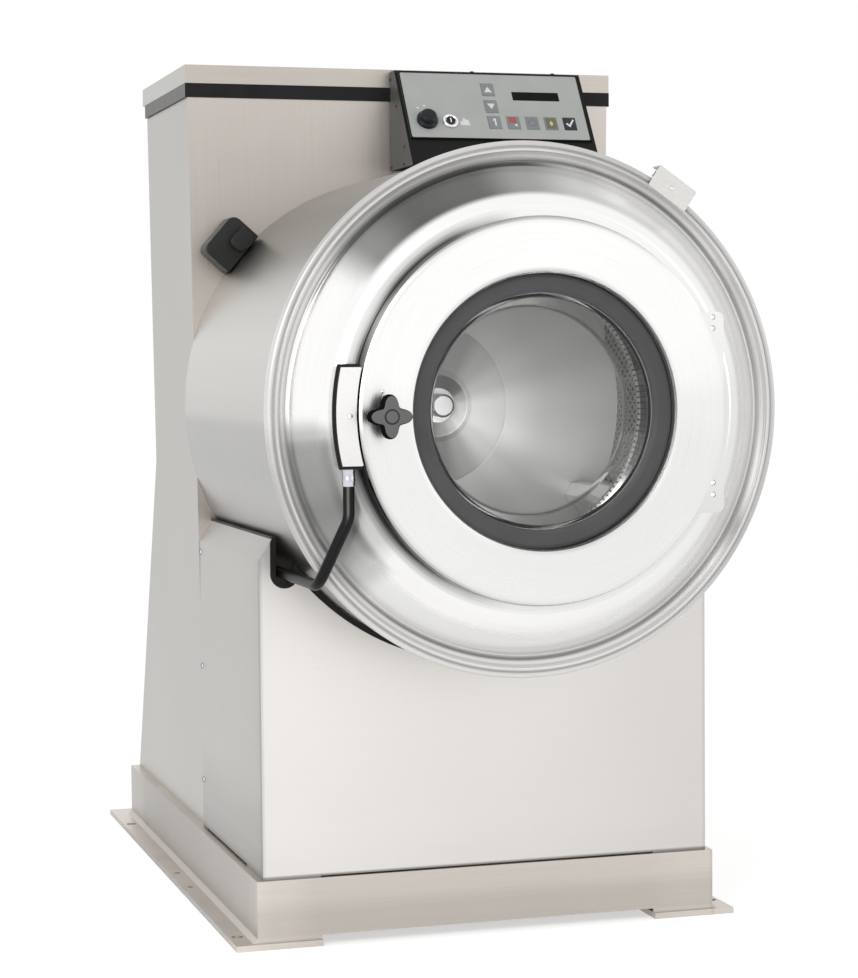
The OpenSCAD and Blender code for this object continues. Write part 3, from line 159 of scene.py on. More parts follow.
def loft(name, rings, material, body, closed=True, caps=False, **kw):
    """A surface through rings that all have as many points."""
    bm = bmesh.new()
    rows = [[bm.verts.new(p) for p in ring] for ring in rings]
    last = len(rows) if closed else len(rows) - 1
    for i in range(last):
        a, b = rows[i], rows[(i + 1) % len(rows)]
        for k in range(len(a)):
            m = (k + 1) % len(a)
            bm.faces.new((a[k], a[m], b[m], b[k]))
    if caps:
        bm.faces.new(list(reversed(rows[0])))
        bm.faces.new(rows[-1])
    bmesh.ops.dissolve_degenerate(bm, edges=bm.edges, dist=1e-7)
    finish_mesh(name, bm, material, body, **kw)


def lathe(name, profile, material, body, segs=240, place=along_y(), **kw):
    """Turns a closed outline of (radius, height) round the drum's axis, or round another."""
    rings = []
    for i in range(segs):
        a = 2 * math.pi * i / segs
        rings.append([place(max(r, 0.0), h, a) for r, h in profile])
    loft(name, rings, material, body, **kw)


def round_edges(bm, edges, bevel, steps=BEVEL_STEPS):
    """Rounds edges by a radius in millimetres."""
    if bevel:
        bmesh.ops.bevel(bm, geom=edges, offset=bevel * MM, segments=steps, profile=0.5, affect="EDGES")


def prism(name, outline, low, high, place, material, body, bevel=0.0, steps=BEVEL_STEPS, **kw):
    """A plate with an outline in (u, v) from w = low to w = high, with rounded rims."""
    bm = bmesh.new()
    a = [bm.verts.new(place(u, v, low)) for u, v in outline]
    b = [bm.verts.new(place(u, v, high)) for u, v in outline]
    n = len(outline)
    bottom = bm.faces.new(a)
    top = bm.faces.new(b)
    for i in range(n):
        bm.faces.new((a[i], a[(i + 1) % n], b[(i + 1) % n], b[i]))
    round_edges(bm, list(bottom.edges) + list(top.edges), bevel, steps)
    finish_mesh(name, bm, material, body, **kw)


def block(name, low, high, material, body, bevel, place=spot, **kw):
    """A box between two corners with rounded edges."""
    bm = bmesh.new()
    xs, ys, zs = zip(low, high)
    v = [bm.verts.new(place(x, y, z)) for x in xs for y in ys for z in zs]
    for q in ((0, 1, 3, 2), (4, 6, 7, 5), (0, 4, 5, 1), (2, 3, 7, 6), (0, 2, 6, 4), (1, 5, 7, 3)):
        bm.faces.new([v[i] for i in q])
    round_edges(bm, bm.edges[:], bevel)
    finish_mesh(name, bm, material, body, **kw)


def tube(name, corners, r, bend, material, body, **kw):
    """A round tube along corner points, bent to one radius at each inner one."""
    points = [Vector(c) for c in corners]
    path = [points[0]]
    for a, b, c in zip(points, points[1:], points[2:]):
        u, v = (b - a).normalized(), (c - b).normalized()
        turn = u.angle(v)
        inward = (v - u * math.cos(turn)) / math.sin(turn)
        start = b - u * bend * math.tan(turn / 2)
        for k in range(BEND_STEPS + 1):
            q = turn * k / BEND_STEPS
            path.append(start + u * bend * math.sin(q) + inward * bend * (1 - math.cos(q)))
    path.append(points[-1])
    turns = [2 * math.pi * k / TUBE_SIDES for k in range(TUBE_SIDES)]
    rings = []
    across = (path[1] - path[0]).orthogonal().normalized()
    for i, point in enumerate(path):
        along = (path[min(i + 1, len(path) - 1)] - path[max(i - 1, 0)]).normalized()
        across = (across - along * across.dot(along)).normalized()
        other = along.cross(across)
        rings.append([spot(*(point + (across * math.cos(q) + other * math.sin(q)) * r)) for q in turns])
    loft(name, rings, material, body, closed=False, caps=True, **kw)


def disc_outline(r, sides, cx, cy):
    """A circle as an outline."""
    turns = [2 * math.pi * i / sides for i in range(sides)]
    return [(cx + r * math.cos(a), cy + r * math.sin(a)) for a in turns]


def rounded_rect(cx, cy, w, h, r):
    """A rectangle round its centre, with rounded corners, as an outline."""
    x, y = w / 2, h / 2
    return fillet([(cx - x, cy - y, r), (cx + x, cy - y, r), (cx + x, cy + y, r), (cx - x, cy + y, r)], 4)


# Material tools


def feed(tree, made, inputs):
    """Sets a node's inputs, by name or number, to values or to other nodes' outputs."""
    for name, value in inputs.items():
        if isinstance(value, bpy.types.NodeSocket):
            tree.links.new(value, made.inputs[name])
        else:
            made.inputs[name].default_value = value


def node(tree, kind, inputs=None, **settings):
    """A new shader node, with its inputs and settings."""
    made = tree.nodes.new(kind)
    for key, value in settings.items():
        setattr(made, key, value)
    feed(tree, made, inputs or {})
    return made


def maths(tree, operation, *values, use_clamp=False):
    """One sum on numbers or on other nodes' outputs."""
    made = node(tree, "ShaderNodeMath", operation=operation, use_clamp=use_clamp)
    feed(tree, made, dict(enumerate(values)))
    return made.outputs[0]


def ranged(tree, value, low, high, to_low=0, to_high=1):
    """Maps the stretch from low to high onto another one."""
    made = node(tree, "ShaderNodeMapRange", {
        "Value": value, "From Min": low, "From Max": high, "To Min": to_low, "To Max": to_high})
    return made.outputs["Result"]


def spread(tree, value, low, high):
    """Maps noise between about 0.3 and 0.7 to a range."""
    return ranged(tree, value, 0.3, 0.7, low, high)


def noise(tree, place, detail):
    """Noise at a place, between nought and one."""
    made = node(tree, "ShaderNodeTexNoise", {"Vector": place, "Scale": 1.0, "Detail": detail})
    return made.outputs["Fac"]


def grain(tree, scale, detail=3.0, seed=0.0):
    """Noise in object space, drawn out by a scale for each axis."""
    coords = node(tree, "ShaderNodeTexCoord")
    mapping = node(tree, "ShaderNodeMapping", {
        "Vector": coords.outputs["Object"], "Scale": scale, "Location": (seed, seed * 0.7, seed * 1.3)})
    return noise(tree, mapping.outputs["Vector"], detail)


def position(tree, kind="Object"):
    """X, Y and Z of the place, or of the normal, in object space."""
    coords = node(tree, "ShaderNodeTexCoord")
    return node(tree, "ShaderNodeSeparateXYZ", {"Vector": coords.outputs[kind]}).outputs


def on_side(tree):
    """One on faces that look along X, nought on those along Y or Z."""
    return maths(tree, "ABSOLUTE", position(tree, "Normal")["X"])


def polar(tree):
    """Angle round the drum's axis, distance from it, and depth along it."""
    x, y, z = position(tree)
    height = maths(tree, "SUBTRACT", z, AXIS_Z)
    angle = maths(tree, "ARCTAN2", height, x)
    square = maths(tree, "MULTIPLY_ADD", x, x, maths(tree, "MULTIPLY", height, height))
    return angle, maths(tree, "SQRT", square), y


def spun_grain(tree, fineness):
    """Noise in rings round the drum's axis, as a spun or turned sheet has."""
    angle, radius, depth = polar(tree)
    parts = node(tree, "ShaderNodeCombineXYZ", {
        "X": maths(tree, "MULTIPLY", radius, fineness), "Y": maths(tree, "MULTIPLY", depth, fineness),
        "Z": maths(tree, "MULTIPLY", angle, GRAIN_ROUND)})
    return noise(tree, parts.outputs[0], 2.0)


def level(value):
    """Linear light of a display level from 0 to 255."""
    return (value / 255) ** GAMMA


def ramp(tree, value, stops):
    """Grey along a value. A stop is (value, display level)."""
    low, high = stops[0][0], stops[-1][0]
    made = node(tree, "ShaderNodeValToRGB", {"Fac": ranged(tree, value, low, high)})
    made.color_ramp.interpolation = "EASE"
    points = made.color_ramp.elements
    points.remove(points[1])
    for i, (place, grey) in enumerate(stops):
        where = (place - low) / (high - low)
        point = points.new(where) if i else points[0]
        point.position = where
        point.color = (level(grey), level(grey), level(grey), 1)
    return made.outputs["Color"]


def by_angle(tree, stops):
    """Fans of light and shade round the axis, in degrees from the right over the top."""
    turn = maths(tree, "MULTIPLY_ADD", polar(tree)[0], 180 / math.pi, 360)
    return ramp(tree, maths(tree, "MODULO", turn, 360), stops)


def by_radius(tree, stops):
    """Rings of light and shade round the axis, in millimetres from it."""
    return ramp(tree, maths(tree, "MULTIPLY", polar(tree)[1], 1000), stops)


def by_axis(tree, axis, stops):
    """Light and shade along an axis of the shared frame, in metres."""
    return ramp(tree, position(tree)[axis], stops)


def multiplied(tree, *colors):
    """Colours laid over each other, each darkening the rest."""
    base = colors[0]
    for color in colors[1:]:
        mix = node(tree, "ShaderNodeMix", {"Factor": 1.0, "A": base, "B": color}, data_type="RGBA",
                   blend_type="MULTIPLY")
        base = mix.outputs["Result"]
    return base


def blended(tree, factor, a, b):
    """From colour a, where the factor is nought, to colour b, where it is one."""
    mix = node(tree, "ShaderNodeMix", {"Factor": factor, "A": a, "B": b}, data_type="RGBA")
    return mix.outputs["Result"]


def tinted(tree, value, color, change):
    """A colour that noise makes a little lighter and darker."""
    dark = [c * (1 - change) for c in color] + [1]
    light = [min(c * (1 + change), 1) for c in color] + [1]
    return blended(tree, spread(tree, value, 0, 1), dark, light)


def bump(tree, value, strength, distance=0.0004):
    """Fine relief, with its depth in metres."""
    made = node(tree, "ShaderNodeBump", {"Strength": strength, "Distance": distance, "Height": value})
    return made.outputs["Normal"]


def new_material(name):
    """A material with its node tree and main shader."""
    made = bpy.data.materials.new(name)
    made.use_nodes = True
    tree = made.node_tree
    return made, tree, tree.nodes["Principled BSDF"]


def seen_plainly(tree):
    """One for what the camera, a mirror or a glass shows, nought for light on the scene."""
    path = node(tree, "ShaderNodeLightPath")
    seen = maths(tree, "ADD", path.outputs["Is Camera Ray"], path.outputs["Is Glossy Ray"], use_clamp=True)
    return maths(tree, "ADD", seen, path.outputs["Is Transmission Ray"], use_clamp=True)


def brushed(name, color, rough, scale, change, side=None, shade=None, side_shade=None):
    """Brushed sheet: fine drawn-out grain, faint clouding and smudges, with painted light and shade laid
    over it and a painted lit or shaded copy of its colour on faces that look along X.
    """
    made, tree, shader = new_material(name)
    fine = grain(tree, scale, 2.0)
    cloud = grain(tree, (3.1, 3.1, 2.3), 2.0, 5.0)
    base = tinted(tree, fine, color, change)
    if shade:
        base = multiplied(tree, base, shade(tree))
    if side:
        flank = tinted(tree, fine, side, change)
        if side_shade:
            flank = multiplied(tree, flank, side_shade(tree))
        base = blended(tree, on_side(tree), base, flank)
    feed(tree, shader, {
        "Base Color": multiplied(tree, base, tinted(tree, cloud, (0.985, 0.985, 0.985), 0.015)),
        "Roughness": spread(tree, fine, rough - 0.05, rough + 0.05), "Metallic": 1.0,
        "Normal": bump(tree, fine, 0.10)})
    return made


def spun(name, color, rough, fineness, change, anisotropic, strength=0.06, shade=None, metal=1.0):
    """Spun or polished round sheet: ring grain, with painted fans of light and shade across it."""
    made, tree, shader = new_material(name)
    rings = spun_grain(tree, fineness)
    base = tinted(tree, rings, color, change)
    if shade:
        base = multiplied(tree, base, shade(tree))
    tangent = node(tree, "ShaderNodeTangent", direction_type="RADIAL", axis="Y")
    feed(tree, shader, {
        "Base Color": base, "Roughness": spread(tree, rings, rough - 0.04, rough + 0.04),
        "Metallic": metal(tree) if callable(metal) else metal, "Anisotropic": anisotropic,
        "Tangent": tangent.outputs["Tangent"], "Normal": bump(tree, rings, strength, 0.0003)})
    return made


def moulded(name, color, rough, change, size, strength, side=None, shine=0.5):
    """Plastic, rubber or paint with a fine mould texture, and a painted lighter copy of its colour on faces
    that look along X.
    """
    made, tree, shader = new_material(name)
    texture = grain(tree, (size, size, size))
    patch = grain(tree, (22, 22, 22), 2.0, 3.0)
    base = tinted(tree, patch, color, change)
    if side:
        base = blended(tree, on_side(tree), base, tinted(tree, patch, side, change))
    feed(tree, shader, {
        "Base Color": base, "Roughness": spread(tree, patch, rough - 0.06, rough + 0.06),
        "Specular IOR Level": shine, "Normal": bump(tree, texture, strength, 0.0002)})
    return made


def painted_shade_between(tree, color, radii, stops):
    """Paints shade onto a colour between radii, darker by so much at each angle."""
    return blended(tree, by_radius(tree, radii), color, multiplied(tree, color, by_angle(tree, stops)))


# Painted light and shade, in display levels: the reflections and shadows that the sheets would show, painted
# into their colours

# Painted shade in the groove between the head and the band, by angle round the axis
GROOVE_PAINTED_SHADE = (
    (0, 250), (30, 222), (60, 185), (82, 215), (96, 255), (182, 255), (200, 215), (225, 190), (242, 178),
    (270, 186), (300, 208), (330, 240), (360, 250))
# Painted shade along the head's outer edge where it meets the band, by angle
SEAM_PAINTED_SHADE = (
    (0, 255), (80, 255), (92, 120), (122, 132), (138, 145), (149, 150), (158, 250), (182, 255),
    (190, 215), (202, 215), (212, 255), (360, 255))


def head_shade(tree):
    """Painted reflection fans on the dished head: dark over the upper left, light across the left."""
    cone = by_angle(tree, (
        (0, 214), (45, 223), (62, 219), (76, 203), (92, 160), (105, 109), (122, 101), (136, 144),
        (147, 252), (181, 254), (185, 205), (188, 160), (196, 152), (204, 128), (210, 140), (216, 165),
        (222, 200), (228, 238), (240, 240), (270, 233), (300, 225), (330, 213), (360, 214)))
    dull = by_angle(tree, (
        (0, 255), (66, 255), (76, 222), (92, 170), (105, 110), (122, 102), (136, 152), (147, 255),
        (181, 255), (185, 210), (188, 172), (196, 164), (204, 150), (210, 165), (216, 190), (222, 216),
        (228, 255), (360, 255)))
    flat = by_angle(tree, (
        (0, 230), (25, 246), (60, 250), (181, 253), (188, 200), (196, 190), (204, 200), (211, 226),
        (226, 236), (255, 239), (300, 233), (340, 224), (360, 230)))
    # Painted shadow of the door on the flat just outside its rim
    edge = by_angle(tree, (
        (0, 255), (95, 250), (107, 205), (120, 135), (138, 135), (152, 195), (165, 150), (182, 150),
        (190, 78), (212, 80), (222, 105), (232, 145), (245, 195), (262, 240), (360, 255)))
    beside = by_radius(tree, ((302, 255), (306, 220), (312, 150), (320, 0)))
    flat = blended(tree, beside, flat, multiplied(tree, flat, edge))
    cone = blended(tree, by_radius(tree, ((342, 0), (354, 255))), cone, dull)
    color = blended(tree, by_radius(tree, ((331, 0), (341, 255))), flat, cone)
    # Painted shade along the head's outer edge and in the groove by the band
    color = painted_shade_between(tree, color, ((379, 0), (382.5, 255), (386, 255), (389, 0)), SEAM_PAINTED_SHADE)
    return painted_shade_between(tree, color, ((383.5, 0), (387.5, 255), (392, 255)), GROOVE_PAINTED_SHADE)


def head_metal(tree):
    """Dull near the band and beside the conduit, which it would mirror too plainly."""
    rim = by_radius(tree, ((340, 255), (354, 150), (392, 110)))
    left = by_angle(tree, ((0, 0), (138, 0), (150, 255), (179, 255), (184, 0), (360, 0)))
    low = by_angle(tree, ((0, 255), (184, 255), (190, 130), (216, 130), (224, 255), (360, 255)))
    return maths(tree, "MINIMUM", maths(tree, "MAXIMUM", rim, left), low)


def band_shade(tree):
    """Painted highlights on two beads, with painted shade in the lines beside them and painted reflection
    fans round the band.
    """
    inner = by_angle(tree, ((0, 252), (32, 246), (60, 216), (74, 228), (92, 255), (330, 255), (360, 252)))
    outer = by_angle(tree, (
        (0, 226), (60, 216), (92, 230), (106, 235), (136, 222), (152, 234), (165, 255), (181, 253),
        (188, 228), (196, 214), (208, 218), (222, 236), (240, 248), (270, 246), (300, 238), (330, 218),
        (360, 226)))
    beads = by_radius(tree, (
        (389, 222), (391, 208), (393.5, 234), (396, 252), (398, 240), (400, 210), (402, 220),
        (404.5, 253), (406.5, 238), (408.5, 200), (410.5, 208), (412.5, 246), (416, 252), (421, 246)))
    color = multiplied(tree, blended(tree, by_radius(tree, ((409, 0), (412, 255))), inner, outer), beads)
    return painted_shade_between(tree, color, ((391, 255), (394.5, 0)), GROOVE_PAINTED_SHADE)


def door_shade(tree):
    """Painted reflection fans and shade on the door's plate, raised rim, outer side and the hollow round its
    glass.
    """
    rim = by_angle(tree, (
        (0, 226), (15, 243), (40, 246), (62, 229), (90, 202), (106, 182), (135, 177), (150, 210),
        (165, 244), (181, 249), (188, 190), (196, 140), (210, 168), (226, 180), (240, 192), (256, 212),
        (285, 222), (315, 217), (345, 229), (360, 226)))
    plate = by_angle(tree, (
        (0, 240), (15, 251), (30, 254), (165, 255), (190, 241), (210, 238), (255, 235), (310, 232),
        (345, 235), (360, 240)))
    # The door's outer side gets painted shade, darkest on the left
    side = by_angle(tree, (
        (0, 230), (90, 215), (108, 170), (120, 105), (136, 118), (152, 182), (165, 125), (188, 70),
        (212, 72), (226, 108), (241, 178), (258, 222), (360, 230)))
    hole = by_angle(tree, (
        (0, 240), (30, 234), (60, 224), (84, 204), (106, 204), (135, 228), (165, 246), (215, 249),
        (240, 243), (262, 222), (285, 206), (305, 222), (330, 246), (360, 240)))
    color = blended(tree, by_radius(tree, ((214, 255), (223, 0))), plate, hole)
    color = blended(tree, by_radius(tree, ((285, 0), (291, 110), (296, 255))), color, rim)
    edge = multiplied(tree, by_radius(tree, ((296.8, 0), (298.2, 255))),
                      by_axis(tree, 1, ((-0.8555, 0), (-0.853, 255))))
    return blended(tree, edge, color, side)


def shell_shade(tree):
    """The round shell's painted reflection and shade: light over the top and at the left, dark below."""
    return by_angle(tree, (
        (0, 215), (40, 232), (90, 236), (110, 206), (118, 196), (130, 177), (140, 181), (151, 226),
        (158, 231), (165, 238), (173, 233), (180.5, 224), (184, 197), (193, 190), (200, 190), (207, 183),
        (214, 166), (235, 160), (270, 150), (330, 190), (360, 215)))


def tower_shade(tree):
    """Painted shade on the tower's front, a little duller round the control box."""
    return by_axis(tree, 2, ((0.10, 252), (0.90, 251), (1.20, 247), (1.30, 248), (1.36, 251), (1.46, 255)))


def panel_shade(tree):
    """Painted shade on the front panel: darker to the right, at its edges and along its hem."""
    across = by_axis(tree, 0, ((-0.3865, 218), (-0.381, 246), (0.0, 238), (0.380, 226), (0.3865, 203)))
    upward = by_axis(tree, 2, ((0.110, 165), (0.1145, 170), (0.118, 246), (0.20, 249), (0.50, 255)))
    return multiplied(tree, across, upward)


def flank_shade(tree):
    """Painted shade on the side panels: darker at the front edge and low down."""
    back = by_axis(tree, 1, ((-0.558, 210), (-0.551, 226), (-0.541, 247), (-0.50, 252), (-0.36, 255)))
    upward = by_axis(tree, 2, ((0.112, 190), (0.13, 222), (0.17, 235), (0.28, 255)))
    return multiplied(tree, back, upward)


def base_front_shade(tree):
    """Painted shade and light on the base's front: duller in the middle and lighter on its upper edge."""
    across = by_axis(tree, 0, (
        (-0.42, 255), (-0.36, 245), (-0.29, 234), (0.27, 234), (0.35, 240), (0.391, 240), (0.397, 226),
        (0.399, 243), (0.43, 243)))
    upward = by_axis(tree, 2, (
        (0.0, 255), (0.012, 255), (0.020, 236), (0.051, 236), (0.085, 253), (0.111, 255)))
    return multiplied(tree, across, upward)


def base_side_shade(tree):
    """Painted shade on the base's sides, darker towards the middle."""
    return by_axis(tree, 1, (
        (-0.565, 255), (-0.54, 244), (-0.47, 233), (-0.30, 225), (0.0, 217), (0.28, 213), (0.44, 219),
        (0.53, 236), (0.63, 240)))


def latch_shade(tree):
    """Painted light on the latch plate, a little lighter at its top."""
    return by_axis(tree, 2, ((0.78, 240), (0.84, 249), (0.90, 255)))


def cone_shade(tree):
    """The drum's rear sheet: a painted bright fan low on the right of each ring, painted shade over the top.
    """
    cup = by_angle(tree, (
        (0, 200), (18, 160), (38, 84), (60, 62), (95, 62), (180, 90), (262, 84), (285, 105), (302, 140),
        (322, 190), (342, 206), (360, 200)))
    ring = by_angle(tree, (
        (0, 250), (20, 208), (40, 172), (62, 130), (95, 120), (180, 140), (255, 118), (280, 122),
        (300, 165), (322, 226), (340, 255), (360, 250)))
    outer = by_angle(tree, (
        (0, 226), (20, 188), (40, 168), (62, 150), (95, 142), (180, 150), (255, 135), (285, 138),
        (302, 150), (322, 178), (342, 236), (360, 226)))
    color = blended(tree, by_radius(tree, ((53, 0), (56, 255))), cup, ring)
    color = blended(tree, by_radius(tree, ((145.5, 0), (148, 255))), color, outer)
    return multiplied(tree, color, by_radius(tree, ((150, 255), (240, 234), (378, 226))))


# Colours are linear. After the colour, brushed and spun take roughness, grain and the
# grain's change of colour, and moulded takes roughness, change, grain and its relief.
# A side colour is the same sheet painted lighter or darker, as light and shade, on faces that look along X
LOOKS = {
    "front": brushed("front_sheet", (0.885, 0.855, 0.825), 0.36, (6, 500, 700), 0.02,
                     side=(0.35, 0.34, 0.325), shade=panel_shade),
    "side": brushed("side_sheet", (0.514, 0.50, 0.48), 0.40, (500, 6, 700), 0.03, shade=flank_shade),
    "tower": brushed("tower_sheet", (0.605, 0.556, 0.518), 0.42, (600, 600, 5), 0.03,
                     side=(0.52, 0.51, 0.483), shade=tower_shade),
    "cap": brushed("cap_sheet", (0.563, 0.52, 0.473), 0.40, (6, 6, 700), 0.03,
                   side=(0.548, 0.543, 0.515)),
    "base": brushed("base_sheet", (0.711, 0.661, 0.606), 0.42, (8, 8, 700), 0.04,
                    side=(0.575, 0.55, 0.515), shade=base_front_shade, side_shade=base_side_shade),
    "shell": spun("shell_sheet", (0.69, 0.68, 0.65), 0.34, 700, 0.03, 0.5, shade=shell_shade),
    "head": spun("head_sheet", (0.99, 0.98, 0.96), 0.22, 900, 0.03, 0.7, shade=head_shade,
                 metal=head_metal),
    "band": spun("band_sheet", (0.95, 0.935, 0.915), 0.30, 500, 0.02, 0.3, shade=band_shade, metal=0.35),
    "door": spun("door_sheet", (0.99, 0.985, 0.97), 0.26, 900, 0.02, 0.6, shade=door_shade),
    "latch": brushed("latch_sheet", (0.97, 0.955, 0.94), 0.30, (300, 300, 300), 0.02,
                     shade=latch_shade),
    "cover": brushed("cover_sheet", (0.74, 0.725, 0.70), 0.34, (300, 300, 300), 0.03),
    "drum": spun("drum_sheet", (0.62, 0.61, 0.60), 0.42, 800, 0.03, 0.3, metal=0.45),
    "drum_back": spun("drum_rear_sheet", (0.97, 0.965, 0.95), 0.42, 800, 0.015, 0.3, 0.02,
                      shade=cone_shade, metal=0.35),
    "ferrule": brushed("ferrule_steel", (0.60, 0.62, 0.66), 0.30, (900, 900, 900), 0.16),
    "chrome": spun("polished_steel", (0.86, 0.86, 0.86), 0.12, 1500, 0.03, 0.0),
    "steel": brushed("machined_steel", (0.50, 0.50, 0.50), 0.34, (400, 400, 400), 0.08),
    "iron": moulded("painted_casting", (0.10, 0.105, 0.11), 0.55, 0.2, 500, 0.4),
    "frame": moulded("frame_paint", (0.16, 0.165, 0.17), 0.5, 0.15, 300, 0.3),
    "motor": moulded("motor_paint", (0.07, 0.09, 0.115), 0.42, 0.15, 600, 0.25),
    "belt": moulded("belt_rubber", (0.018, 0.018, 0.018), 0.7, 0.2, 900, 0.3),
    "rubber": moulded("ring_rubber", (0.100, 0.101, 0.104), 0.55, 0.06, 1500, 0.1, shine=0.3),
    "black": moulded("black_edging", (0.016, 0.016, 0.016), 0.42, 0.2, 900, 0.1, shine=0.2),
    # The strip's and the case's side colours are painted light and reflection on their faces that look along
    # X
    "strip": moulded("cap_strip", (0.018, 0.018, 0.019), 0.45, 0.2, 900, 0.1, side=(0.20, 0.195, 0.19),
                     shine=0.15),
    "box": moulded("control_case", (0.010, 0.011, 0.010), 0.42, 0.1, 1400, 0.2, side=(0.108, 0.109, 0.10),
                   shine=0.12),
    "face": moulded("control_overlay", (0.515, 0.535, 0.515), 0.42, 0.03, 2400, 0.05, shine=0.3),
    "glass_dark": moulded("display_window", (0.004, 0.004, 0.005), 0.12, 0.1, 900, 0.0, shine=0.1),
    "chute": moulded("chute_plastic", (0.019, 0.020, 0.018), 0.36, 0.15, 1500, 0.15, shine=0.35),
    "pipe": moulded("drain_plastic", (0.030, 0.030, 0.032), 0.45, 0.15, 700, 0.15),
    "brass": moulded("valve_body", (0.40, 0.30, 0.14), 0.4, 0.1, 500, 0.1),
    # The knob is one plastic: its sides and the ring round its cap are painted dark as shade, its face
    # lighter as lit
    "knob": moulded("knob_plastic", (0.165, 0.168, 0.163), 0.36, 0.06, 1500, 0.1, shine=0.4),
    "knob_ring": moulded("knob_recess", (0.045, 0.046, 0.045), 0.45, 0.1, 1500, 0.1, shine=0.15),
    "knob_edge": moulded("knob_side", (0.010, 0.011, 0.010), 0.50, 0.1, 1500, 0.1, shine=0.0),
    "key_grey": moulded("key_grey", (0.295, 0.31, 0.325), 0.4, 0.05, 2400, 0.05, shine=0.3),
    "key_red": moulded("key_red_top", (0.50, 0.13, 0.12), 0.4, 0.06, 2400, 0.05, shine=0.3),
    "key_dark": moulded("key_dark_top", (0.030, 0.032, 0.042), 0.35, 0.06, 2400, 0.05, shine=0.3),
    "key_olive": moulded("key_olive_top", (0.20, 0.20, 0.12), 0.4, 0.06, 2400, 0.05, shine=0.3),
    "white": moulded("print_white", (0.88, 0.88, 0.86), 0.5, 0.03, 2400, 0.02),
    "yellow": moulded("print_yellow", (0.78, 0.74, 0.35), 0.5, 0.05, 2400, 0.02),
    "print_dark": moulded("print_dark", (0.10, 0.12, 0.13), 0.5, 0.05, 2400, 0.02),
    "switch": moulded("switch_black", (0.008, 0.009, 0.012), 0.16, 0.1, 1200, 0.05, shine=0.3),
}


def screw_head():
    """Small domes: a painted highlight in the middle and painted shade at the rim, and dark high up, on the
    control box.
    """
    made, tree, shader = new_material("screw_dome")
    facing = node(tree, "ShaderNodeLayerWeight", {"Blend": 0.5})
    fine = grain(tree, (900, 900, 900), 2.0)
    # Painted shade at the dome's rim, where it faces away
    rim = ramp(tree, facing.outputs["Facing"], ((0.0, 255), (0.25, 235), (0.55, 70), (1.0, 45)))
    high = by_axis(tree, 2, ((1.265, 255), (1.29, 75)))
    feed(tree, shader, {
        "Base Color": multiplied(tree, tinted(tree, fine, (0.92, 0.92, 0.92), 0.05), rim, high),
        "Roughness": spread(tree, fine, 0.18, 0.26), "Metallic": 1.0})
    return made


def sheath():
    """Black conduit with a painted soft highlight along the side that faces left and forward."""
    made, tree, shader = new_material("conduit_sheath")
    fine = grain(tree, (600, 600, 600))
    coords = node(tree, "ShaderNodeTexCoord")
    turned = node(tree, "ShaderNodeVectorMath", {0: coords.outputs["Normal"], 1: (-0.37, -0.92, 0.12)},
                  operation="DOT_PRODUCT")
    painted_highlight = ramp(tree, turned.outputs["Value"],
                  ((-1.0, 26), (0.88, 30), (0.95, 58), (0.985, 122), (1.0, 138)))
    feed(tree, shader, {
        "Base Color": multiplied(tree, tinted(tree, fine, (0.93, 0.93, 0.91), 0.06), painted_highlight),
        "Roughness": spread(tree, fine, 0.30, 0.40), "Specular IOR Level": 0.15,
        "Normal": bump(tree, fine, 0.05, 0.0002)})
    return made


def glass():
    """Clear bowl glass that lets the lamps' light through without a shadow."""
    made, tree, shader = new_material("bowl_glass")
    haze = grain(tree, (9, 9, 9), 2.0)
    feed(tree, shader, {
        "Base Color": tinted(tree, haze, (0.985, 0.99, 0.985), 0.008),
        "Roughness": spread(tree, haze, 0.0, 0.02), "IOR": 1.47, "Transmission Weight": 1.0})
    path = node(tree, "ShaderNodeLightPath")
    clear = node(tree, "ShaderNodeBsdfTransparent")
    mix = node(tree, "ShaderNodeMixShader", {
        0: path.outputs["Is Shadow Ray"], 1: shader.outputs[0], 2: clear.outputs[0]})
    feed(tree, tree.nodes["Material Output"], {"Surface": mix.outputs[0]})
    return made


HOLES_ROUND = 140
HOLE_ROWS = 34
BARREL_DEPTH = 0.55


def perforated():
    """Drum barrel: rows of small holes in a spun sheet, each row half a step round, painted dark as the
    shade inside the drum.
    """
    made, tree, shader = new_material("perforated_sheet")
    angle, _, depth = polar(tree)

    def cell(value, count, shift):
        scaled = maths(tree, "MULTIPLY_ADD", value, count, shift + 1000)
        return maths(tree, "SUBTRACT", maths(tree, "FRACT", scaled), 0.5)

    def dots(shift):
        pair = node(tree, "ShaderNodeCombineXYZ", {
            "X": cell(angle, HOLES_ROUND / (2 * math.pi), shift),
            "Y": cell(depth, HOLE_ROWS / BARREL_DEPTH, shift)})
        length = node(tree, "ShaderNodeVectorMath", {0: pair.outputs[0]}, operation="LENGTH")
        return ranged(tree, length.outputs["Value"], 0.17, 0.21)

    sheet = maths(tree, "MULTIPLY", dots(0.0), dots(0.5))
    rings = spun_grain(tree, 800)
    # The holes are painted near black as the shade inside them, and the sheet is painted dark as the shade
    # inside the drum
    base = blended(tree, sheet, (0.015, 0.015, 0.015, 1), tinted(tree, rings, (0.22, 0.218, 0.21), 0.05))
    feed(tree, shader, {
        "Base Color": base, "Roughness": spread(tree, rings, 0.36, 0.46), "Metallic": 0.5,
        "Normal": bump(tree, sheet, 0.5, 0.001)})
    return made


LOOKS["screw"] = screw_head()
LOOKS["glass"] = glass()
LOOKS["conduit"] = sheath()
LOOKS["perforated"] = perforated()

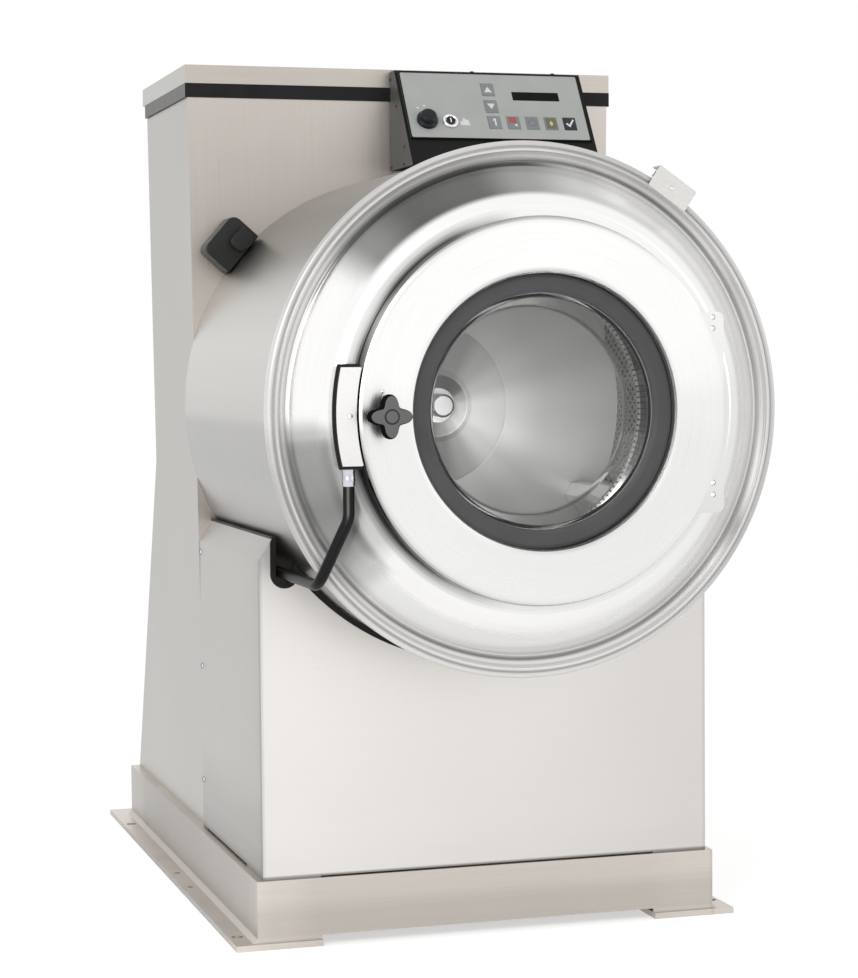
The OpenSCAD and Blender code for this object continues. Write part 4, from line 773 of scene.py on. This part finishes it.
CAD_LOOKS = {
    "base_frame": "base", "rear_frame": "frame", "tower_casing": "tower", "tower_back_cover": "tower",
    "top_cap": "cap", "cap_strip": "strip", "front_panel": "front", "side_panel_left": "side",
    "side_panel_right": "side", "cover_screws": "screw", "cradle_trim": "black", "tub_shell": "shell",
    "shell_front": "head", "clamp_band": "band", "clamp_cover": "cover", "clamp_bolt": "chrome",
    "latch_box": "latch", "latch_seal": "black", "conduit": "conduit", "hinge_bracket": "steel",
    "bearing_housing": "iron", "shaft_bearings": "steel", "shaft_seal": "black", "motor_mount": "frame",
    "motor_housing": "motor", "drive_belt": "belt", "inverter_box": "motor", "control_box": "box",
    "control_face": "face", "display_window": "glass_dark", "chute_body": "chute",
    "drain_valve_body": "pipe", "drain_pipe": "pipe", "inlet_valves": "brass",
    "drum_cylinder": "perforated", "drum_ribs": "drum", "drum_back_plate": "drum_back", "drum_hub": "screw",
    "drum_shaft": "steel", "drum_pulley": "iron", "motor_pulley": "iron", "door_plate": "door",
    "door_gasket": "rubber", "door_glass": "glass", "hinge_leaf": "steel", "hinge_screws": "screw",
    "star_knob": "knob", "latch_dog": "steel", "lock_plunger": "steel", "chute_lid": "chute",
    "master_switch": "switch", "key_switch": "chrome", "key_up": "key_grey", "key_down": "key_grey",
    "key_1": "key_grey", "key_2": "key_grey", "key_3": "key_grey", "key_4": "key_grey", "key_5": "key_dark",
    "drain_disc": "steel",
}
for name, look in CAD_LOOKS.items():
    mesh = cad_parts[name].data
    for i in range(len(mesh.materials)):
        mesh.materials[i] = LOOKS[look]
    if not mesh.materials:
        mesh.materials.append(LOOKS[look])

# Hem along the front panel's lower edge, which narrows the gap over the base

HEM_HALF = 289.6
HEM_FRONT, HEM_BACK = 213.3, 214.7
HEM_LOW, HEM_HIGH = -757.2, -754.9

block("panel_hem", (-HEM_HALF, HEM_FRONT, HEM_LOW), (HEM_HALF, HEM_BACK, HEM_HIGH), LOOKS["front"],
      "cabinet", 0.4, slot="cabinet_sheet")

# Head and clamp band

lathe("head", fillet([
    (409.5, 4.0, 0.6), (402, 4.0, 3), (391, 10.0, 3), (384, 9.0, 6), (332, -43, 22), (318, -52, 14),
    (199, -52, 3), (197, -49, 1.5), (197, -38), (199.5, -38), (199.5, -48, 1.5), (202, -49.5, 1.5),
    (318, -49.5, 12), (330, -41, 20), (383, 11.5, 4), (391.5, 12.5, 3), (403, 6.5, 2), (409.5, 6.5, 0.6),
], 6), LOOKS["head"], "cabinet", replaces=["shell_front"], slot="head_sheet")

BEAD_STEPS = 14

# The band's bolt lugs: two blocks on its rim, on both sides of one angle
LUG_ANGLE = math.radians(55.4)
LUG_SHIFT = 22
LUG_HALF = 5
LUG_IN, LUG_OUT = 417, 436
LUG_FRONT, LUG_BACK = 5, 21


def bead(cx, cy, r, start, stop):
    """A round stretch of the band's outline, between two angles in degrees."""
    turns = [math.radians(start + (stop - start) * k / BEAD_STEPS) for k in range(BEAD_STEPS + 1)]
    return [(cx + r * math.cos(a), cy + r * math.sin(a)) for a in turns]


def lug_place(r, y, t):
    return ring_point(LUG_ANGLE, r, y, t)


band_outline = (
    [(391.4, 9.4), (389.4, 8.2), (389.6, 7.2), (390, 6.6), (401.8, 0.6)]
    + bead(406.1, 0.3, 3.5, 185, 325)
    + [(410.6, 1.6)]
    + bead(415, 5, 5, 222, 380)
    + [(418.2, 10), (418.2, 19)]
    + bead(415, 24, 4, -40, 250)
    + [(415, 18.5), (415, 10), (410.2, 6), (410, 3.7), (402, 3.7)]
)
lathe("band", band_outline, LOOKS["band"], "cabinet", replaces=["clamp_band"], slot="head_sheet")
for name, t in (("band_lug_low", -LUG_SHIFT), ("band_lug_high", LUG_SHIFT)):
    block(name, (LUG_IN, LUG_FRONT, t - LUG_HALF), (LUG_OUT, LUG_BACK, t + LUG_HALF), LOOKS["band"],
          "cabinet", 1.2, slot="head_sheet", place=lug_place)

# Rubber ring and glass bowl

lathe("rubber_ring", fillet([
    (182.3, -53, 1.5), (182.3, -56), (187.5, -56), (187.5, -59), (182.3, -59), (182.3, -66, 3),
    (188, -70, 6), (206, -70, 6), (211.6, -66, 3), (211.6, -53, 1),
], 5), LOOKS["rubber"], "door", replaces=["door_gasket"], slot="grey_rubber")

lathe("bowl", fillet([
    (187.2, -58.6, 0.8), (187.2, -56.2, 0.8), (181.6, -55.4, 1), (170.5, 6, 6), (166, 15.9, 9), (0, 15.9),
    (0, 10), (163, 10, 7), (164.5, 3, 5), (175.6, -58.6, 1.5),
], 6), LOOKS["glass"], "door", replaces=["door_glass"], slot="door_glass")

# Latch plate's inner edge, beside the door: a thin lip on an arc round the drum's axis

LIP_R = 303
LIP_HALF_HEIGHT = 73.5
LIP_DROP = 3
LIP_HALF = math.asin(LIP_HALF_HEIGHT / LIP_R)
LIP_MIDDLE = math.pi + LIP_DROP / LIP_R
LIP_STEPS = 40
LIP_SECTION = ((301.3, -83.6), (301.7, -84.0), (303.5, -84.0), (303.5, -80.0), (301.3, -80.0))

lip_rings = []
for k in range(LIP_STEPS + 1):
    angle = LIP_MIDDLE - LIP_HALF + 2 * LIP_HALF * k / LIP_STEPS
    lip_rings.append([ring_point(angle, r, y) for r, y in LIP_SECTION])
loft("latch_lip", lip_rings, LOOKS["latch"], "cabinet", closed=False, caps=True, slot="head_sheet")

# Star knob

KNOB_X, KNOB_Z = -259, -3
KNOB_R = 26.6
LOBE = 7.0
LOBES = 4
KNOB_SIDES = 144


def knob_outline(grow):
    """The knob's soft lobes, grown all round by so much."""
    out = []
    for i in range(KNOB_SIDES):
        a = 2 * math.pi * i / KNOB_SIDES
        r = KNOB_R + LOBE * math.cos(LOBES * a) + grow
        out.append((r * math.cos(a), r * math.sin(a)))
    return out


def knob_loft(name, levels, material, **kw):
    """A body of lobed rings, each at a depth and grown by so much."""
    rings = [[spot(KNOB_X + u, y, KNOB_Z + v) for u, v in knob_outline(grow)] for y, grow in levels]
    loft(name, rings, material, "knob", closed=False, caps=True, slot="knob_black", sharp=50, **kw)


def knob_lathe(name, profile, material, segs):
    lathe(name, profile, material, "knob", segs=segs, slot="knob_black",
          place=along_y(KNOB_X, 0, KNOB_Z))


knob_loft("knob", ((-102.0, -3.2), (-103.2, -1.4), (-105.5, -0.3), (-112, 0.0), (-120, -0.2),
                   (-124.0, -0.8), (-125.8, -1.6), (-126.6, -2.4)), LOOKS["knob_edge"],
          replaces=["star_knob"])
knob_loft("knob_face", ((-126.6, -2.4), (-127.4, -3.4), (-127.9, -5.0), (-128.0, -6.5)), LOOKS["knob"])
knob_lathe("knob_cap", fillet([(0, -130), (9.2, -130, 1.0), (9.2, -127), (0, -127)], 4), LOOKS["knob"], 64)
knob_lathe("knob_ring", fillet([(9.2, -128.5), (11.8, -128.1, 0.3), (11.8, -127), (9.2, -127)], 3),
           LOOKS["knob_ring"], 64)
knob_lathe("knob_stem", fillet([(0, -104), (9, -104), (9, -84.4, 0.5), (0, -84.4)], 3),
           LOOKS["knob_edge"], 48)

# Conduit, with its ferrule and gland

CONDUIT_ROUTE = [(-310, -64, -84), (-310, -64, -157), (-345, -8, -262), (-345, 686, -262)]
CONDUIT_R = 8.8
CONDUIT_BEND = 34
FERRULE_Z = -108
GLAND_Y = 682.5

ferrule_place = along_z(CONDUIT_ROUTE[0][0], CONDUIT_ROUTE[0][1], FERRULE_Z)
gland_place = along_y(CONDUIT_ROUTE[-1][0], GLAND_Y, CONDUIT_ROUTE[-1][2])
tube("conduit_run", CONDUIT_ROUTE, CONDUIT_R, CONDUIT_BEND, LOOKS["conduit"], "cabinet",
     replaces=["conduit"], slot="black_conduit")
lathe("conduit_ferrule", fillet([
    (8.9, 0), (9.8, 0, 0.4), (9.8, 7), (10.4, 8, 0.5), (10.4, 10, 0.5), (9.8, 11), (9.8, 23),
    (10.2, 24, 0.4), (10.2, 29), (6.2, 29), (6.2, 27), (8.9, 27),
], 3), LOOKS["ferrule"], "cabinet", segs=48, slot="screw_steel", place=ferrule_place)
lathe("conduit_neck", fillet([(0, 28.6), (6, 28.6), (6, 38, 0.5), (0, 38)], 2), LOOKS["steel"], "cabinet",
      segs=32, slot="screw_steel", place=ferrule_place)
lathe("conduit_gland", fillet([(8.9, 0), (13.6, 0, 1), (13.6, 10.5), (8.9, 10.5)], 3), LOOKS["steel"],
      "cabinet", segs=48, slot="screw_steel", place=gland_place)

# Keys, each with its centre on the control face

KEYS = {
    "key_up": (169, 42.5), "key_down": (169, 81), "key_1": (169, 117.5), "key_2": (205, 117.5),
    "key_3": (241, 117.5), "key_4": (277, 117.5), "key_5": (313, 117.5),
}
KEY_W, KEY_H = 24, 28.5
KEY_CORNER = 1.6
KEY_LOW, KEY_HIGH = 0.5, 4.1
PRINT_LOW, PRINT_HIGH = 4.12, 4.3
CIRCLE_OUT, CIRCLE_IN = 8.0, 6.2
CIRCLE_DASHES = 10
DASH_SHARE = 0.375


def key_slot(key):
    return "key_dark" if key == "key_5" else "key_grey"


for key, (s, t) in KEYS.items():
    prism(key + "_top", rounded_rect(s, t, KEY_W, KEY_H, KEY_CORNER), KEY_LOW, KEY_HIGH, panel_spot,
          LOOKS[key_slot(key)], key + "_cap", 0.5, replaces=[key], slot=key_slot(key))


def mark(name, key, outline, look, low=PRINT_LOW, high=PRINT_HIGH):
    """A print on a key, with its outline measured from the key's centre."""
    s, t = KEYS[key]
    prism(name, [(s + u, t + v) for u, v in outline], low, high, panel_spot, LOOKS[look], key + "_cap",
          slot=key_slot(key))


mark("mark_up", "key_up", [(0, -6), (7.5, 6.5), (-7.5, 6.5)], "white")
mark("mark_down", "key_down", [(-7.5, -6), (7.5, -6), (0, 6.5)], "white")
mark("mark_one", "key_1", [(3, -8.5), (3, 7.5), (0, 7.5), (0, -4.5), (-3, -2.5), (-3, -5.5), (0, -8.5)],
     "white")
mark("mark_red", "key_2", rounded_rect(-1.5, -6, 15, 13, 2), "key_red")
mark("mark_red_dot", "key_2", disc_outline(2.6, 20, 4, 5.5), "white")
mark("mark_olive", "key_4", rounded_rect(0, 0, 20, 24, 2), "key_olive", PRINT_LOW, 4.25)
mark("mark_spot", "key_4", [(0, -6), (3.5, 0.5), (0, 6.5), (-3.5, 0.5)], "yellow", 4.26, 4.4)
for k in range(CIRCLE_DASHES):
    start = 2 * math.pi * k / CIRCLE_DASHES
    stop = 2 * math.pi * (k + DASH_SHARE) / CIRCLE_DASHES
    corners = ((CIRCLE_OUT, start), (CIRCLE_OUT, stop), (CIRCLE_IN, stop), (CIRCLE_IN, start))
    mark(f"mark_circle_{2 * k}", "key_3", [(r * math.cos(a), r * math.sin(a)) for r, a in corners],
         "print_dark")
mark("mark_tick", "key_5", [(-8, 0.5), (-5, -2), (-1.5, 2.5), (6.5, -10), (9, -8), (-1, 8.5)], "white")

# Switches, prints and rim of the control face

# Places are right and down on the face, and heights are out of it
SWITCH = (41.8, 116.2)
SWITCH_TICKS = ((29, 87.6), (42.3, 82.4), (52.8, 93.4))
LOCK = (85, 118)
LOCK_CORE = (7.25, 8.4)
LOCK_SLOT = (8.41, 8.6)
FACE_PRINT = (3.12, 3.25)
RIM_HEIGHT = (3.12, 3.5)
SKIRT_HEIGHT = (0.15, 3.5)

# The rim's left, top, right and bottom, outside and inside, and the size of its skirt
RIM = (6, 4, 349, 155)
RIM_INNER = (8, 7.2, 345.5, 153.8)
RIM_JOINTS = (12.4, 147)
RIM_CORNER = 5
SKIRT = 0.6
SKIRT_GAP = 0.05

# The screws on top of the box, in the face frame
BOX_TOP = 603.15
BOX_SCREW_Y = 671
BOX_SCREW_XS = (125.8, 281.7)

lathe("switch_knob", fillet([
    (0, 3.4), (19.4, 3.4, 0.6), (19.4, 9.0, 2.5), (15.2, 11.0, 1), (14.8, 19.0, 3), (12.5, 21.4, 2),
    (0, 22.6),
], 5), LOOKS["switch"], "switch_knob", segs=64, replaces=["master_switch"], slot="switch_black",
    place=out_of_panel(*SWITCH))
lathe("lock_ring", fillet([
    (0, 3.4), (14.4, 3.4, 0.5), (14.4, 7.2, 1.5), (11.0, 8.6, 1), (9.5, 7.2), (0, 7.2),
], 4), LOOKS["chrome"], "lock_cylinder", segs=64, replaces=["key_switch"], slot="screw_steel",
    place=out_of_panel(*LOCK))
prism("lock_core", disc_outline(8.6, 48, *LOCK), *LOCK_CORE, panel_spot, LOOKS["switch"],
      "lock_cylinder", 0.3, slot="screw_steel")
prism("lock_slot", rounded_rect(*LOCK, 2.2, 10, 0.8), *LOCK_SLOT, panel_spot, LOOKS["chrome"],
      "lock_cylinder", slot="screw_steel")


def face_plate(name, outline, heights, look):
    """A flat piece on the control face, between two heights."""
    prism(name, outline, *heights, panel_spot, LOOKS[look], "cabinet", slot="control_grey")


for i, (s, t) in enumerate(SWITCH_TICKS):
    face_plate(f"switch_tick_{i}", rounded_rect(s, t, 5.0, 3.4, 1.2), FACE_PRINT, "white")


def rim_outlines():
    """The black rim that frames the overlay: its top, two upright stretches and its bottom."""
    left, top, right, bottom = RIM
    in_left, in_top, in_right, in_bottom = RIM_INNER
    upper, lower = RIM_JOINTS
    return (
        fillet([(left, top), (right, top), (right, upper), (in_right, upper), (in_right, in_top, RIM_CORNER),
                (in_left, in_top, RIM_CORNER), (in_left, upper), (left, upper)], 4),
        [(left, upper), (in_left, upper), (in_left, lower), (left, lower)],
        [(in_right, upper), (right, upper), (right, lower), (in_right, lower)],
        fillet([(left, bottom), (left, lower), (in_left, lower), (in_left, in_bottom, RIM_CORNER),
                (in_right, in_bottom, RIM_CORNER), (in_right, lower), (right, lower), (right, bottom)], 4),
    )


def skirt_outline():
    """Covers the overlay's edge at the left and below, a hair outside the rim."""
    left, top, right, bottom = RIM
    out_left, out_bottom = left - SKIRT, bottom + SKIRT
    in_left, in_bottom = left - SKIRT_GAP, bottom + SKIRT_GAP
    return [(out_left, top - SKIRT), (in_left, top - SKIRT), (in_left, in_bottom), (right, in_bottom),
            (right, out_bottom), (out_left, out_bottom)]


for i, outline in enumerate(rim_outlines()):
    face_plate(f"overlay_rim_{i}", outline, RIM_HEIGHT, "box")
face_plate("overlay_rim_side", skirt_outline(), SKIRT_HEIGHT, "box")
for i, x in enumerate(BOX_SCREW_XS):
    lathe(f"box_screw_{i}", fillet([(0, 0), (4.2, 0), (3.6, 2.0, 1.2), (0, 2.9)], 3), LOOKS["screw"],
          "cabinet", segs=24, slot="screw_steel", place=along_z(x, BOX_SCREW_Y, BOX_TOP))
face_plate("water_sign", fillet([(104, 125), (104, 117, 1), (108, 116, 1), (111, 107, 1), (115, 112, 1),
                                 (120, 113, 1), (122, 125)], 3), FACE_PRINT, "white")

# Soap supply

# Places are out from the drum's axis, along the tangent and back
CHUTE_ANGLE = math.radians(139)
CASE_IN, LID_IN = 410.6, 411.2
CHUTE_OUT = 471.4
CHUTE_HALF = 42
CHUTE_CORNER = 14
CASE_DEPTH = (651.0, 695.6)
LID_DEPTH = (643.4, 650.4)
GRIP_DEPTH = (624.6, 644.0)


def chute_place(r, t, y):
    return ring_point(CHUTE_ANGLE, r, y, t)


def chute_rect(inside):
    """The supply's section: a rectangle on the shell with its outer corners rounded."""
    return fillet([(inside, -CHUTE_HALF, 2.0), (CHUTE_OUT, -CHUTE_HALF, CHUTE_CORNER),
                   (CHUTE_OUT, CHUTE_HALF, CHUTE_CORNER), (inside, CHUTE_HALF, 2.0)], 7)


prism("chute_case", chute_rect(CASE_IN), *CASE_DEPTH, chute_place, LOOKS["chute"], "cabinet", 1.0,
      replaces=["chute_body"], slot="chute_black")
prism("chute_door", chute_rect(LID_IN), *LID_DEPTH, chute_place, LOOKS["chute"], "chute_door", 2.4,
      steps=4, replaces=["chute_lid"], slot="chute_black")
prism("chute_grip", fillet([(415.5, -34, 8), (447.8, -34, 3), (447.8, 4, 9), (415.5, 4, 12)], 7),
      *GRIP_DEPTH, chute_place, LOOKS["chute"], "chute_door", 3.2, steps=4, slot="chute_black")

# Floor, background, lamps and camera

FLOOR_HALF = 40
FLOOR_DROP = 0.0005
FLOOR_GLOW = 0.56
BACKGROUND_LIGHT = 0.55


def white_floor():
    """A floor about as light as the background, which takes the machine's shadow."""
    bm = bmesh.new()
    corners = ((-1, -1), (1, -1), (1, 1), (-1, 1))
    bm.faces.new([bm.verts.new((x * FLOOR_HALF, y * FLOOR_HALF, -FLOOR_DROP)) for x, y in corners])
    made, tree, shader = new_material("floor_paint")
    feed(tree, shader, {
        "Base Color": (0.82, 0.82, 0.82, 1), "Roughness": 0.9, "Specular IOR Level": 0.0,
        "Emission Color": (1, 1, 1, 1),
        "Emission Strength": maths(tree, "MULTIPLY", seen_plainly(tree), FLOOR_GLOW)})
    add_mesh("floor", bm, made)


def white_background():
    """Full white where it is seen, and softer as light on the machine."""
    world = bpy.data.worlds.new("studio")
    bpy.context.scene.world = world
    world.use_nodes = True
    tree = world.node_tree
    feed(tree, tree.nodes["Background"], {
        "Color": (1, 1, 1, 1), "Strength": ranged(tree, seen_plainly(tree), 0, 1, BACKGROUND_LIGHT, 1)})


def lamp(name, place, target, size, power):
    """A square lamp that looks at its target, with its side in metres and its power in watts."""
    data = bpy.data.lights.new(name, "AREA")
    data.shape = "RECTANGLE"
    data.size = size
    data.size_y = size
    data.energy = power
    obj = add_object(name, data)
    obj.location = place
    obj.rotation_euler = (Vector(target) - Vector(place)).to_track_quat("-Z", "Y").to_euler()


white_floor()
white_background()
lamp("key_lamp", (-2.6, -3.4, 2.6), (0, -0.3, 0.8), 1.8, 40)
lamp("fill_lamp", (3.2, -2.6, 1.8), (0, -0.3, 0.8), 1.6, 14)
lamp("drum_lamp_low", spot(190, 62, -190), spot(0, 560, 60), 0.14, 1.3)
lamp("drum_lamp_high", spot(-210, 62, 150), spot(60, 560, 0), 0.14, 3.0)

# The camera stands where the photograph was taken: turned right, down and rolled by these
# angles, with a focal length in pixels of a picture of this height
CAMERA_PLACE = spot(-1240.97, -3578.19, 86.96)
YAW, PITCH, ROLL = math.radians(16.741), math.radians(3.147), math.radians(-0.497)
FOCAL_PIXELS = 2421.8
PICTURE_HEIGHT = 978
SENSOR = 36

forward = Vector((math.sin(YAW) * math.cos(PITCH), math.cos(YAW) * math.cos(PITCH), -math.sin(PITCH)))
level_right = Vector((math.cos(YAW), -math.sin(YAW), 0))
level_up = level_right.cross(forward)
right = level_right * math.cos(ROLL) + level_up * math.sin(ROLL)
up = -level_right * math.sin(ROLL) + level_up * math.cos(ROLL)
camera_data = bpy.data.cameras.new("camera")
camera_data.lens = FOCAL_PIXELS * SENSOR / PICTURE_HEIGHT
camera_data.sensor_width = SENSOR
camera = add_object("camera", camera_data)
camera.matrix_world = Matrix((
    (right.x, up.x, -forward.x, CAMERA_PLACE.x),
    (right.y, up.y, -forward.y, CAMERA_PLACE.y),
    (right.z, up.z, -forward.z, CAMERA_PLACE.z),
    (0, 0, 0, 1),
))
bpy.context.scene.camera = camera
bpy.context.scene.view_settings.view_transform = "Standard"
